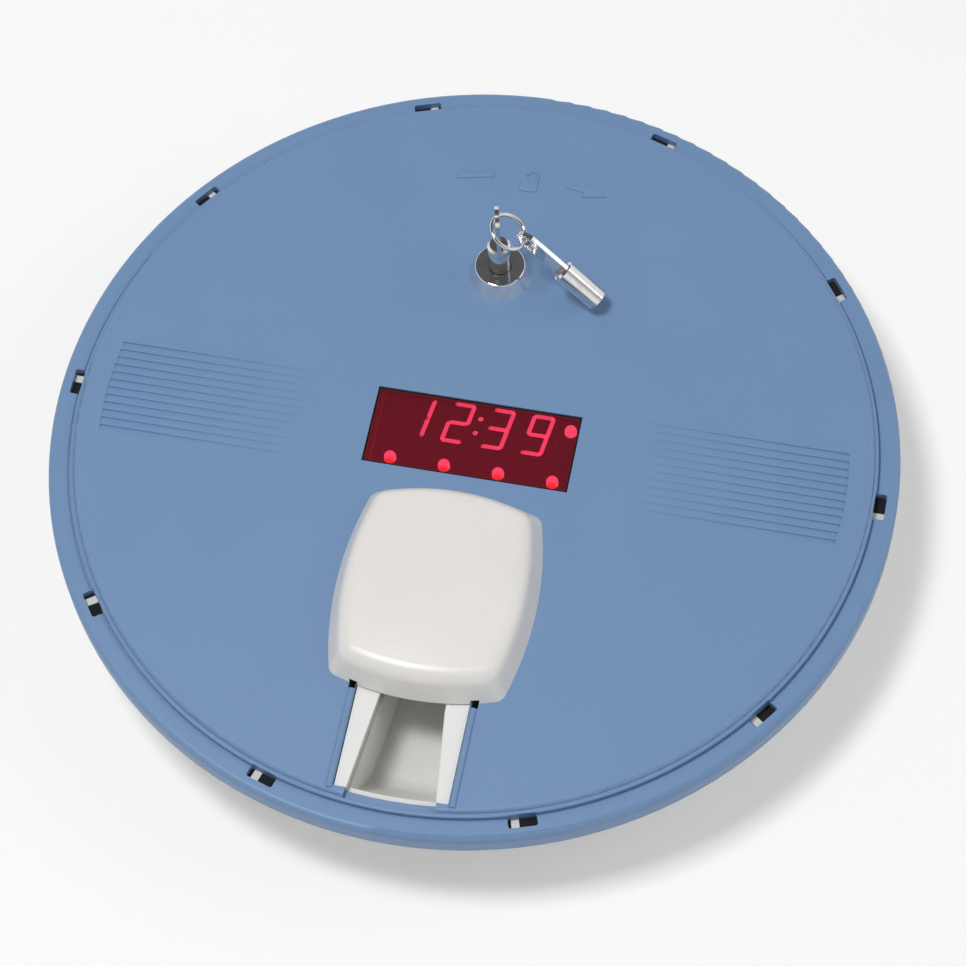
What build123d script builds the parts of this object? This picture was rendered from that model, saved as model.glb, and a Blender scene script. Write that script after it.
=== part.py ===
from build123d import *
import os
from math import asin, atan2, cos, degrees, hypot, pi, radians, sin, sqrt, tan

# Automatic pill dispenser: a round locking lid over a turning tray of pill compartments.
# Millimetres. Origin on the table under the centre, +Z up, -Y towards the pill opening.

# ---------------------------------------------------------------- heights above the table
FOOT_PROUD = 2.0            # gap between table and base
FLOOR_WALL = 2.2
FLANGE_TOP_Z = 41.5         # the lid rests here
FLANGE_THICK = 1.5
SHOULDER_THICK = 2.5
DECK_RISE = 3.0             # deck above the lid's shoulder
LID_WALL = 2.5
SKIRT_DROP = 6.85           # shoulder top to skirt edge

# ---------------------------------------------------------------- lid, seen from above
RIM_R = 133.0
SKIRT_WALL = 2.4
RIM_ROUND = 2.0
SHOULDER_WIDTH = 8.2
DECK_ROUND = 1.0
LEDGE_WIDTH = 1.3
LEDGE_DROP = 1.3
GROOVE_WIDTH = 0.7
GROOVE_DEPTH = 0.4
STEP_WALL = 2.4             # wall under the deck's edge
CATCH_COUNT = 10
CATCH_LENGTH = 3.4
CATCH_THICK = 1.6
CATCH_REACH = 3.1
CATCH_PLAY = 0.2
CATCH_SHIFT_DEG = -0.6       # from the middle of its rim slot
LID_TURN_DEG = 12.0
RIM_SLOT_LENGTH = 8.8
RIM_SLOT_WIDTH = 3.6
RIM_SLOT_INSET = 3.0        # from the skirt's inside
WINDOW_LENGTH = 65.0
WINDOW_WIDTH = 27.0
PANE_LIP = 1.0
PANE_LAP = 3.0              # under the deck, all round
PANE_CORNER_R = 2.0
PANE_FIT = 0.05
PANE_SUNK = 0.5
LINE_COUNT = 12
LINE_PITCH = 2.76
LINE_WIDTH = 2.5
LINE_LEAN = 0.1             # of a line's steep side
LINE_DEPTH = 0.5
LINE_INSET = 7.8            # of the lines' outer ends, from the deck's edge
LINE_INNER_X = 50.0

# ---------------------------------------------------------------- pill opening and hood
OPENING_HALF = 17.5
OPENING_INSET = 1.1         # from the wall under the deck's edge
OPENING_INNER_Y = 80.0
LIP_FLOOR = 2.5             # depth of the step in the lip in front of the tray
BEAD_WIDTH = 2.1
BEAD_RISE = 0.9
HOOD_TRAVEL = 33.0
HOOD_HALF_X = 26.5          # at the corners
HOOD_HALF_Y = 31.0
HOOD_BULGE = 4.4            # how far each side bows out
HOOD_RISE = 11.5
HOOD_CROWN_R = 250.0
HOOD_LEAN = 5.5             # how far the sides lean in over their height
HOOD_WALL = 1.8
HOOD_CORNER_R = 4.0
HOOD_TOP_CORNER_R = 8.0
HOOD_EDGE_R = 6.0
HOOD_NOTCH_PLAY = 0.25      # round each guide bead
HOOD_REST_Y = -55.0
LEG_LENGTH = 3.0
LEG_WALL = 1.7
LEG_FOOT = 2.0
LEG_FOOT_THICK = 1.0
FRAME_PLAY = 0.3            # all round the raised part of the slide frame
FRAME_SUNK = 0.8            # below the deck
FRAME_FLANGE = 1.2
FRAME_FLANGE_HALF = 24.0
FRAME_BRIDGE = 8.0          # joins the two strips under the hood

# ---------------------------------------------------------------- tray and its drive
COMPARTMENTS = 28
TRAY_PLAY = 0.8             # inside the wall under the deck's edge
TRAY_HEADROOM = 1.9         # under the deck
TRAY_UPRIGHT = 4.6          # height of the upright part of the outer wall
TRAY_FLOOR_Z = 16.0
TRAY_WALL = 1.4
HUB_GAP = 4.0               # between the hub and the tray
DIVIDER_WALL = 1.2
DIVIDER_DROP = 0.6          # below the tray's rim
DIVIDER_FIT = 0.01
SCOOP_R = 6.0
TRACK_INSET = 15.4          # from the tray's bore
TRACK_WALL = 2.0
TRACK_Z = 9.0
GEAR_MODULE = 1.75
RING_TEETH = 84
PINION_TEETH = 12
PRESSURE_ANGLE = 20.0
BACKLASH = 0.30
RING_DEPTH = 8.0
RING_RIM = 2.6
PINION_LOWER = 0.5          # the pinion is this much shorter at each end
PINION_ROOM = 0.2125        # beside the pinion, in the hub's wall

# ---------------------------------------------------------------- base
JACK_BAND = 16.0            # from the tray's track to the edge of the flat underside
FLANGE_REACH = 3.6          # past the wall
BASE_UPRIGHT = 4.0          # height of the wall's upright part, under the flange
BASE_WALL = 2.5
BASE_FOOT_ROUND = 6.0
FLANGE_PLAY = 0.4           # inside the lid's skirt
NOTCH_PLAY = 1.6            # each way past a catch, in length
NOTCH_DEEPER = 0.6          # than a catch reaches
SEAL_WIDTH = 4.8
SEAL_EDGE = 0.2             # from the flange's edge
SEAL_THICK = 0.8
SEAL_SUNK = 0.1             # below the flange's face
SEAL_PLAY = 0.02
LAND_WIDTH = 2.4            # of each break in the seal
LAND_DEG = -1.0             # from the middle of a rim slot
NOTCH_EDGE = 1.0            # from the seal's end to a notch
FOOT_R = 7.0
FOOT_INSET = 9.0            # of the feet, from the edge of the flat underside
FOOT_PEG_R = 2.9
FOOT_PEG_HEAD = 1.2
STOP_LENGTH = 3.0
JACK_DEG = 115.0
JACK_BORE_R = 4.2
JACK_Z = 9.8
JACK_HALF = 5.0
JACK_LENGTH = 11.0
JACK_INSET = 1.5            # of its body, from the edge of the flat underside
JACK_NOSE = 5.0
JACK_SOCKET_R = 2.8
JACK_PIN_R = 1.0
WIRE_R = 0.8
WIRE_GAP = 0.4
WIRE_END_R = 28.0
WIRE_BEND_R = 6.0

# ---------------------------------------------------------------- hub
GEARBOX_ROOM = 7.6          # from the pinion's axis to the hub's outside
HUB_HEADROOM = 2.5          # under the deck
HUB_WALL = 1.8
HUB_ROUND = 1.5
WELL_PLAY = 2.7             # behind the lock nut
WELL_FROM_DEG = 67.5
WELL_TO_DEG = 107.5
HUB_BOSS_R = 4.0
HUB_BOSS_INSET = 8.6
HUB_BOSS_DEGS = (35.0, 145.0, 215.0, 325.0)
HUB_SCREW_R = 1.5
PILOT_GAP = 0.1
DISPLAY_LENGTH = 50.3
DISPLAY_WIDTH = 19.0
DISPLAY_DEEP = 8.0
DISPLAY_Y = 8.1
DISPLAY_RISE = 0.4          # of its face, above the panel's inside
BEZEL_WALL = 1.6
INDICATOR_R = 1.9
INDICATOR_PLAY = 0.2        # under the filter
INDICATOR_X = 0.9
INDICATOR_PITCH = 17.2
INDICATOR_Y = -7.7
MARKER_X = 29.1
MARKER_Y = 11.0
PANEL_OPENING = (64.0, 34.0)
PANEL_OPENING_AT = (1.2, 4.0)
BOARD_SIZE = (70.0, 69.0)
BOARD_Y = -6.5
BOARD_THICK = 1.6
BOARD_POST_R = 2.6
BOARD_POST_INSET = 3.8
BOARD_SCREW_R = 1.1
BUTTON_PITCH = 16.0
BUTTON_NAMES = ("program_button", "hour_button", "minute_button", "test_button")
BUTTON_Y = -31.0
BUTTON_LENGTH = 11.0
BUTTON_WIDTH = 7.0
BUTTON_PLAY = 0.3
BUTTON_PROUD = 1.0
BUTTON_FLANGE = 1.0
BUTTON_TRAVEL = 0.8
SWITCH_HALF = 3.0
SWITCH_HEIGHT = 3.6
BUZZER_X = -49.0
BUZZER_R = 12.0
BUZZER_DEEP = 7.5
SENSOR_HALF = 4.0
SENSOR_RISE = 8.0           # above the tray's underside
GEARBOX_LENGTH = 27.4
GEARBOX_END = 4.4           # past the pinion's axis
GEARBOX_HALF = 9.0
GEARBOX_HEIGHT = 10.0
GEARBOX_GAP = 2.6           # above the tray's ring gear
MOTOR_INSET = 9.5           # from the pinion's axis
MOTOR_R = 7.8
MOTOR_HEIGHT = 9.5
MOTOR_POST_INSET = 19.5     # from the pinion's axis
MOTOR_POST_Y = 6.0
MOTOR_POST_R = 3.0
MOTOR_SCREW_R = 1.3
SHAFT_R = 1.5
SHAFT_IN_GEARBOX = 5.5
BEARING_R = 3.5
BEARING_HEIGHT = 3.0

# ---------------------------------------------------------------- batteries
CELL_R = 7.1
CELL_LENGTH = 49.5
CELL_COUNT = 4
CELL_GAP = 0.8
BAY_WALL = 1.6
BAY_Y = -10.0
BAY_END = 4.0               # room for the contacts at each end of the cells
BAY_SIDE = 0.5
BAY_ROOF = 1.4
CONTACT_WALL = 0.4
PAD_RISE = 1.2              # thicker floor round the bay
PAD_MARGIN = 5.0
DOOR_THICK = 1.7
DOOR_SUNK = 0.2
DOOR_OVERLAP = 2.3
DOOR_PLAY = 0.3
DOOR_RAIL = 1.3
DOOR_RAIL_THICK = 0.8
DOOR_TRAVEL = 12.0

# ---------------------------------------------------------------- lock and keys
LOCK_X = -3.0
LOCK_INSET = 9.6            # from the hub's outside
COLLAR_LAP = 2.3            # of the collar, round the barrel
COLLAR_TOP_R = 7.9
COLLAR_RISE = 5.0
LOCK_R = 8.0
LOCK_FLAT = 0.8             # cut off each side of the barrel
LOCK_LENGTH = 20.0
LOCK_HOLE_PLAY = 0.15
KEYWAY_R = 3.85             # outside of the ring-shaped keyway
KEYWAY_DEEP = 3.7
POST_R = 2.6
PLUG_R = 6.0
PLUG_FACE_R = 4.7
PLUG_STEP = 5.0             # depth of the plug's shoulder
PLUG_SUNK = 0.15
MARK_WIDTH = 1.4            # notch in the lock's face
MARK_LENGTH = 1.4
MARK_DEEP = 1.2
RUNNING_FIT = 0.06
NUT_WALL = 2.0
NUT_THICK = 3.0
WASHER_THICK = 0.6
CAM_THICK = 2.0
CAM_HALF = 3.25
CAM_REACH = 11.5
CAM_SHOULDER_R = 5.6
CAM_SCREW_R = 1.9
CAM_SCREW_HEAD_R = 3.6
CAM_SCREW_HEAD = 1.8
KEEPER_GAP = 0.55
KEEPER_THICK = 2.0
KEEPER_REACH = 4.2
KEEPER_HEIGHT = 8.0
KEY_BARREL_R = 3.7
KEY_BARREL_BORE_R = 2.75
KEY_BARREL_LENGTH = 15.8
KEY_BARREL_CHAMFER = 0.8
KEY_BORE_DEEP = 12.0
KEY_PLATE = 1.3
BOW_HALF_WIDTH = 4.2
BOW_LENGTH = 18.6           # above the barrel
BOW_HOLE_R = 2.4
KEY_TURN = 14.0             # of the inserted key's plate, off the front-to-rear line
RING_R = 6.0
RING_WIRE_R = 0.65
RING_CHORD = 9.2            # from the inserted key's hole round the front of its plate
RING_BEHIND = 1.0           # the wire lies this far behind the hole's centre
RING_SLOPE = -5.0
RING_TILT = 30.0            # the ring's dip towards the spare key
SPARE_PLACE = 10.0          # angle round the ring
SPARE_HANG = 1.4            # hole's centre past the wire
SPARE_HEADING = -14.0
SPARE_DIP = 40.0
SPARE_ROLL = 23.0

# ---------------------------------------------------------------- worked out
FLOOR_TOP_Z = FOOT_PROUD + FLOOR_WALL
SHOULDER_Z = FLANGE_TOP_Z + SHOULDER_THICK
DECK_Z = SHOULDER_Z + DECK_RISE
DECK_UNDER_Z = DECK_Z - LID_WALL
SKIRT_Z = SHOULDER_Z - SKIRT_DROP
SKIRT_IN_R = RIM_R - SKIRT_WALL
DECK_R = RIM_R - SHOULDER_WIDTH
LEDGE_R = DECK_R + LEDGE_WIDTH
STEP_IN_R = DECK_R - STEP_WALL
OPENING_OUTER_Y = STEP_IN_R - OPENING_INSET
LINE_OUTER_R = DECK_R - LINE_INSET
RIM_SLOT_R = SKIRT_IN_R - RIM_SLOT_INSET
FLANGE_R = SKIRT_IN_R - FLANGE_PLAY
SEAL_OUTER_R = FLANGE_R - SEAL_EDGE
SEAL_INNER_R = SEAL_OUTER_R - SEAL_WIDTH
BASE_WALL_R = FLANGE_R - FLANGE_REACH
FLANGE_Z = FLANGE_TOP_Z - FLANGE_THICK
BASE_BEND_Z = FLANGE_Z - BASE_UPRIGHT
CATCH_TOP_Z = FLANGE_Z - CATCH_PLAY
CATCH_PITCH_DEG = 360.0 / CATCH_COUNT
COMPARTMENT_DEG = 360.0 / COMPARTMENTS
RING_PITCH_R = GEAR_MODULE * RING_TEETH / 2
PINION_PITCH_R = GEAR_MODULE * PINION_TEETH / 2
PINION_TIP_R = PINION_PITCH_R + 0.85 * GEAR_MODULE
PINION_X = RING_PITCH_R - PINION_PITCH_R
HUB_R = PINION_X + GEARBOX_ROOM
HUB_TOP_Z = DECK_UNDER_Z - HUB_HEADROOM
HUB_BOSS_CIRCLE_R = HUB_R - HUB_BOSS_INSET
TRAY_R = STEP_IN_R - TRAY_PLAY
TRAY_BORE_R = HUB_R + HUB_GAP
TRAY_TOP_Z = DECK_UNDER_Z - TRAY_HEADROOM
TRAY_BEND_Z = TRAY_TOP_Z - TRAY_UPRIGHT
TRACK_R = TRAY_BORE_R + TRACK_INSET
BASE_FOOT_R = TRACK_R + JACK_BAND
FOOT_CIRCLE_R = BASE_FOOT_R - FOOT_INSET
JACK_FRONT_R = BASE_FOOT_R - JACK_INSET
JACK_BACK_R = JACK_FRONT_R - JACK_LENGTH
JACK_NOSE_R = JACK_FRONT_R + JACK_NOSE
RING_TOP_Z = TRAY_FLOOR_Z
RING_Z = RING_TOP_Z - RING_DEPTH
LOCK_Y = HUB_R - LOCK_INSET
LOCK_FLAT_HALF = LOCK_R - LOCK_FLAT
COLLAR_R = LOCK_R + COLLAR_LAP
NUT_HALF_FLATS = LOCK_R + NUT_WALL
WASHER_R = NUT_HALF_FLATS
WELL_INNER_R = LOCK_Y - NUT_HALF_FLATS - WELL_PLAY
LOCK_TOP_Z = DECK_Z + COLLAR_RISE
LOCK_END_Z = DECK_Z - LOCK_LENGTH
CAM_TOP_Z = LOCK_END_Z - 0.4
CAM_Z = CAM_TOP_Z - CAM_THICK
PANEL_Z = HUB_TOP_Z - HUB_WALL
DISPLAY_Z = PANEL_Z + DISPLAY_RISE
INDICATOR_TOP_Z = DECK_UNDER_Z - PANE_LIP - INDICATOR_PLAY
BOARD_TOP_Z = DISPLAY_Z - DISPLAY_DEEP
BOARD_Z = BOARD_TOP_Z - BOARD_THICK
SENSOR_Z = TRAY_FLOOR_Z + SENSOR_RISE
BUTTON_XS = [(place - 1.5) * BUTTON_PITCH for place in range(4)]
GEARBOX_Z = RING_TOP_Z + GEARBOX_GAP
GEARBOX_TO_X = PINION_X + GEARBOX_END
GEARBOX_FROM_X = GEARBOX_TO_X - GEARBOX_LENGTH
MOTOR_X = PINION_X - MOTOR_INSET
MOTOR_POST_X = PINION_X - MOTOR_POST_INSET
PAD_TOP_Z = FLOOR_TOP_Z + PAD_RISE
CELL_PITCH = 2 * CELL_R + CELL_GAP
BAY_HALF_X = CELL_COUNT * CELL_PITCH / 2 + BAY_SIDE
BAY_HALF_Y = CELL_LENGTH / 2 + BAY_END
CELL_Z = PAD_TOP_Z + CELL_R - 0.3
KEY_TIP_Z = LOCK_TOP_Z - KEYWAY_DEEP - RUNNING_FIT
KEY_BARREL_TOP = BOW_HALF_WIDTH - BOW_LENGTH                 # measured from the bow's hole
KEY_TIP = KEY_BARREL_TOP - KEY_BARREL_LENGTH
KEY_HOLE_Z = KEY_TIP_Z - KEY_TIP
LEG_X = OPENING_HALF + BEAD_WIDTH / 2 + 0.15
UPRIGHT = (Align.CENTER, Align.CENTER, Align.MIN)


# ================================================================ shared shapes
def rod(radius, z_from, z_to, x=0.0, y=0.0):
    """Upright cylinder between two heights."""
    return Pos(x, y, z_from) * Cylinder(radius, z_to - z_from, align=UPRIGHT)


def pipe(radius, bore, z_from, z_to, x=0.0, y=0.0):
    """Upright tube between two heights."""
    return rod(radius, z_from, z_to, x, y) - rod(bore, z_from - 1, z_to + 1, x, y)


def block(x, y, z):
    """Box between (low, high) pairs along each axis."""
    size = (x[1] - x[0], y[1] - y[0], z[1] - z[0])
    return Pos(x[0], y[0], z[0]) * Box(*size, align=(Align.MIN,) * 3)


def centred_block(length, width, z_from, z_to, x=0.0, y=0.0):
    """Box centred on an upright line."""
    return Pos(x, y, z_from) * Box(length, width, z_to - z_from, align=UPRIGHT)


def section(points, rounds=()):
    """Face in the radius-height plane; rounds are (radius, height, fillet) at its corners."""
    face = make_face(Plane.XZ * Polyline([(r, z) for r, z in points], close=True))
    for r, z, fillet_r in rounds:
        corner = face.vertices().sort_by_distance((r, 0, z))[0]
        face = fillet(corner, fillet_r)
    return face


def turned(points, rounds=()):
    """Solid of revolution about the vertical axis."""
    return revolve(section(points, rounds), Axis.Z)


def sector(r_in, r_out, from_deg, to_deg, z_from, z_to):
    """Block of a flat ring between two angles."""
    start, middle, end = (
        (cos(radians(a)), sin(radians(a))) for a in (from_deg, (from_deg + to_deg) / 2, to_deg)
    )
    outer = ThreePointArc(*((r_out * c, r_out * s) for c, s in (start, middle, end)))
    inner = ThreePointArc(*((r_in * c, r_in * s) for c, s in (end, middle, start)))
    sides = Line(outer @ 1, inner @ 0), Line(inner @ 1, outer @ 0)
    face = make_face([outer, sides[0], inner, sides[1]])
    return Pos(0, 0, z_from) * extrude(face, z_to - z_from)


def turn(angle_deg, shape):
    """Shape turned about the vertical axis."""
    return Rot(0, 0, angle_deg) * shape


# ================================================================ lid
def rim_slot():
    """Cutter for one slot in the shoulder, on the +X axis."""
    slot = centred_block(RIM_SLOT_WIDTH, RIM_SLOT_LENGTH, FLANGE_TOP_Z - 1, DECK_Z, x=RIM_SLOT_R)
    return fillet(slot.edges().filter_by(Axis.Z), 0.7)


def catch():
    """Inward catch under the shoulder, on the +X axis."""
    low_x = SKIRT_IN_R - CATCH_REACH
    return block((low_x, SKIRT_IN_R + 0.5), (-CATCH_LENGTH / 2, CATCH_LENGTH / 2),
                 (CATCH_TOP_Z - CATCH_THICK, CATCH_TOP_Z))


def line_groove(y, side):
    """Cutter for one long step, steep at the rear, that runs out at its inner end."""
    outer_x = sqrt(LINE_OUTER_R**2 - y**2)
    length = outer_x - LINE_INNER_X
    step = make_face(Polyline((-LINE_WIDTH, 0), (0, 0), (-LINE_LEAN, -LINE_DEPTH), close=True))
    ridge = extrude(Plane.YZ * step, length)
    slope = degrees(asin(LINE_DEPTH / length))
    placed = Pos(LINE_INNER_X, y, DECK_Z + LINE_DEPTH) * Rot(0, slope, 0) * ridge
    return placed if side > 0 else mirror(placed, Plane.YZ)


def opening_wedge():
    """Flat face of the pill opening: one compartment wide, from the hub side to the lip."""
    half = radians(COMPARTMENT_DEG / 2)
    near, far = OPENING_INNER_Y, DECK_R + LEDGE_WIDTH / 4
    corners = [(-near * sin(half), -near * cos(half)), (near * sin(half), -near * cos(half)),
               (far * sin(half), -far * cos(half)), (0, -far), (-far * sin(half), -far * cos(half))]
    left, right, far_right, far_mid, far_left = corners
    outline = [Line(left, right), Line(right, far_right), ThreePointArc(far_right, far_mid, far_left),
               Line(far_left, left)]
    return make_face(outline)


def guide_bead(side):
    """Half-round bead beside the pill opening."""
    start = HOOD_REST_Y - HOOD_HALF_Y - 4.0
    bead_x = side * (OPENING_HALF + BEAD_WIDTH / 2)
    profile = Plane((bead_x, start, DECK_Z), x_dir=(1, 0, 0), z_dir=(0, -1, 0)) * Ellipse(
        BEAD_WIDTH / 2, BEAD_RISE)
    bead = extrude(profile, OPENING_OUTER_Y + 0.9 + start)
    return bead - block((-40, 40), (-140, -60), (DECK_UNDER_Z - 3, DECK_Z - 0.2))


def leg_slot(side):
    """Cutter for the slot that a leg of the hood runs in."""
    start = HOOD_REST_Y + LEG_LENGTH / 2 + 0.3
    length = LEG_LENGTH + HOOD_TRAVEL + 0.6
    return centred_block(BEAD_WIDTH, length, DECK_UNDER_Z - 1, DECK_Z + 1, x=side * LEG_X,
                         y=start - length / 2)


def lock_hole(half_play):
    """Double-D outline of the lock barrel, as a flat face."""
    return Circle(LOCK_R + half_play) & Rectangle(2 * (LOCK_R + 1), 2 * (LOCK_FLAT_HALF + half_play))


def lid_cover():
    """Whole blue lid: deck, stepped shoulder and skirt, with catches that turn under the base."""
    under = DECK_UNDER_Z
    lid = turned(
        [(0, DECK_Z), (DECK_R, DECK_Z), (DECK_R, DECK_Z - LEDGE_DROP), (LEDGE_R, DECK_Z - LEDGE_DROP),
         (LEDGE_R, SHOULDER_Z - GROOVE_DEPTH), (LEDGE_R + GROOVE_WIDTH, SHOULDER_Z - GROOVE_DEPTH),
         (LEDGE_R + GROOVE_WIDTH, SHOULDER_Z), (RIM_R, SHOULDER_Z), (RIM_R, SKIRT_Z),
         (SKIRT_IN_R, SKIRT_Z), (SKIRT_IN_R, FLANGE_TOP_Z), (STEP_IN_R, FLANGE_TOP_Z),
         (STEP_IN_R, under), (0, under)],
        [(DECK_R, DECK_Z, DECK_ROUND), (LEDGE_R, DECK_Z - LEDGE_DROP, 0.5),
         (RIM_R, SHOULDER_Z, RIM_ROUND)])
    lid -= centred_block(WINDOW_LENGTH, WINDOW_WIDTH, under - 1, DECK_Z + 1)
    lid -= block((-OPENING_HALF, OPENING_HALF), (-OPENING_OUTER_Y, -OPENING_INNER_Y),
                 (under - 1, DECK_Z + 1))
    lid -= Pos(0, 0, DECK_Z - LIP_FLOOR) * extrude(opening_wedge(), LIP_FLOOR + 1)
    lid -= Pos(LOCK_X, LOCK_Y, under - 1) * extrude(lock_hole(LOCK_HOLE_PLAY), LID_WALL + 2)
    for side in (-1, 1):
        lid -= leg_slot(side)
        lid += guide_bead(side)
        for row in range(LINE_COUNT):
            lid -= line_groove((row - (LINE_COUNT - 1) / 2) * LINE_PITCH, side)
    for place in range(CATCH_COUNT):
        lid -= turn(place * CATCH_PITCH_DEG, rim_slot())
        lid += turn(place * CATCH_PITCH_DEG + CATCH_SHIFT_DEG, catch())
    return lid


def deck_zone():
    """Space that holds the lid's flat deck, up to the wall under its edge and the lip."""
    low, high = SKIRT_Z - LID_WALL, DECK_Z + LID_WALL
    lip = block((-OPENING_HALF, OPENING_HALF), (-STEP_IN_R, -OPENING_OUTER_Y), (low, high))
    return rod(STEP_IN_R, low, high) - lip


def make_lid_deck():
    """Flat deck of the lid, inside its stepped edge."""
    return lid_cover() & deck_zone()


def make_lid_rim():
    """Stepped edge, shoulder and skirt of the lid."""
    return lid_cover() - deck_zone()


def make_window_filter():
    """Dark red clear pane that fills the display window from below."""
    low = DECK_UNDER_Z - PANE_LIP
    lip = centred_block(WINDOW_LENGTH + 2 * PANE_LAP, WINDOW_WIDTH + 2 * PANE_LAP, low, DECK_UNDER_Z)
    lip = fillet(lip.edges().filter_by(Axis.Z), PANE_CORNER_R)
    return lip + centred_block(WINDOW_LENGTH - 2 * PANE_FIT, WINDOW_WIDTH - 2 * PANE_FIT, low,
                               DECK_Z - PANE_SUNK)


def make_slide_frame():
    """White frame under the pill opening, with a one-compartment wedge cut through it."""
    half = OPENING_HALF - FRAME_PLAY
    top = DECK_Z - FRAME_SUNK
    low = DECK_UNDER_Z - FRAME_FLANGE
    outer = OPENING_OUTER_Y - FRAME_PLAY
    inner = OPENING_INNER_Y + FRAME_PLAY
    flange_from = HOOD_REST_Y - HOOD_TRAVEL - LEG_LENGTH / 2 - 1.2
    frame = block((-half, half), (-outer, -inner), (low, top))
    flange_outer = sqrt((STEP_IN_R - FRAME_PLAY) ** 2 - FRAME_FLANGE_HALF**2)
    frame += block((-FRAME_FLANGE_HALF, FRAME_FLANGE_HALF), (-flange_outer, flange_from),
                   (low, DECK_UNDER_Z))
    frame -= Pos(0, 0, low - 1) * extrude(opening_wedge(), top - low + 2)
    return frame + block((-half, half), (-inner, -inner + FRAME_BRIDGE), (low, DECK_UNDER_Z))


# ================================================================ hood
def hood_outline(inset, corner_r):
    """Plan of the hood: a rectangle with bowed sides and rounded corners."""
    hx, hy, bow = HOOD_HALF_X - inset, HOOD_HALF_Y - inset, HOOD_BULGE
    corners = [(-hx, -hy), (hx, -hy), (hx, hy), (-hx, hy)]
    swells = [(0, -hy - bow), (hx + bow, 0), (0, hy + bow), (-hx - bow, 0)]
    outline = make_face([ThreePointArc(corners[i], swells[i], corners[(i + 1) % 4]) for i in range(4)])
    return fillet(outline.vertices(), corner_r)


def hood_body(inset, rise, edge_r):
    """Solid pillow form: leaning sides, crowned top and a soft top edge."""
    height = rise + 2.0
    form = loft([hood_outline(inset, HOOD_CORNER_R - inset / 2),
                 Pos(0, 0, height) * hood_outline(inset + HOOD_LEAN, HOOD_TOP_CORNER_R)], ruled=True)
    form = form & Pos(0, 0, rise - HOOD_CROWN_R) * Sphere(HOOD_CROWN_R)
    crown = form.faces().sort_by(Axis.Z)[-1]
    return fillet(crown.edges(), edge_r)


def make_hood():
    """White sliding hood: thin shell with two hooked legs that run in the lid's slots."""
    shell = hood_body(0.0, HOOD_RISE, HOOD_EDGE_R) - hood_body(
        HOOD_WALL, HOOD_RISE - HOOD_WALL, HOOD_EDGE_R - HOOD_WALL)
    shell = Pos(0, HOOD_REST_Y, DECK_Z) * shell
    foot_top = DECK_UNDER_Z - 0.2
    for side in (-1, 1):
        front = HOOD_REST_Y - HOOD_HALF_Y - HOOD_BULGE
        notch_x = side * (OPENING_HALF + BEAD_WIDTH / 2)
        shell -= centred_block(BEAD_WIDTH + 2 * HOOD_NOTCH_PLAY, 14, DECK_Z - 1,
                               DECK_Z + BEAD_RISE + HOOD_NOTCH_PLAY, x=notch_x, y=front)
        inner_x, outer_x = side * (LEG_X - LEG_WALL / 2), side * (LEG_X + LEG_WALL / 2)
        leg_y = (HOOD_REST_Y - LEG_LENGTH / 2, HOOD_REST_Y + LEG_LENGTH / 2)
        leg_x = tuple(sorted((inner_x, outer_x)))
        shell += block(leg_x, leg_y, (foot_top - LEG_FOOT_THICK, DECK_Z + HOOD_RISE - HOOD_WALL / 2))
        foot_x = tuple(sorted((inner_x, outer_x + side * LEG_FOOT)))
        shell += block(foot_x, leg_y, (foot_top - LEG_FOOT_THICK, foot_top))
    return shell


# ================================================================ lock
def make_lock_body():
    """Lock housing: tapered collar over the lid and a double-D barrel through it."""
    collar = Pos(LOCK_X, LOCK_Y, DECK_Z) * Cone(COLLAR_R, COLLAR_TOP_R, COLLAR_RISE, align=UPRIGHT)
    top_edge = collar.edges().group_by(Axis.Z)[-1]
    collar = fillet(top_edge, 0.5)
    barrel = Pos(LOCK_X, LOCK_Y, LOCK_END_Z) * extrude(lock_hole(0.0), LOCK_LENGTH)
    body = collar + barrel
    body -= rod(PLUG_FACE_R + RUNNING_FIT, LOCK_END_Z, LOCK_TOP_Z + 1, LOCK_X, LOCK_Y)
    body -= rod(PLUG_R + RUNNING_FIT, LOCK_END_Z - 1, LOCK_TOP_Z - PLUG_STEP, LOCK_X, LOCK_Y)
    return body - centred_block(MARK_WIDTH, 2 * MARK_LENGTH, LOCK_TOP_Z - MARK_DEEP, LOCK_TOP_Z + 1,
                                LOCK_X, LOCK_Y - PLUG_FACE_R)


def make_lock_washer():
    """Flat washer between the lid and the lock nut."""
    return pipe(WASHER_R, LOCK_R + LOCK_HOLE_PLAY, DECK_UNDER_Z - WASHER_THICK, DECK_UNDER_Z,
                LOCK_X, LOCK_Y)


def make_lock_nut():
    """Hexagon nut that holds the lock in the lid."""
    top = DECK_UNDER_Z - WASHER_THICK
    hexagon = RegularPolygon(NUT_HALF_FLATS, 6, major_radius=False)
    nut = Pos(LOCK_X, LOCK_Y, top - NUT_THICK) * extrude(hexagon, NUT_THICK)
    return nut - rod(LOCK_R + LOCK_HOLE_PLAY, top - NUT_THICK - 1, top + 1, LOCK_X, LOCK_Y)


def make_lock_plug():
    """Turning core of the lock, with its ring-shaped keyway."""
    plug = rod(PLUG_R, CAM_TOP_Z, LOCK_TOP_Z - PLUG_STEP - RUNNING_FIT, LOCK_X, LOCK_Y)
    plug += rod(PLUG_FACE_R, CAM_TOP_Z, LOCK_TOP_Z - PLUG_SUNK, LOCK_X, LOCK_Y)
    plug -= pipe(KEYWAY_R, POST_R, KEY_TIP_Z, LOCK_TOP_Z, LOCK_X, LOCK_Y)
    plug += centred_block(6.0, 6.0, CAM_Z, CAM_TOP_Z + 1, LOCK_X, LOCK_Y)
    plug -= rod(CAM_SCREW_R + PILOT_GAP, CAM_Z - 1, CAM_TOP_Z + 8, LOCK_X, LOCK_Y)
    return plug


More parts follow.
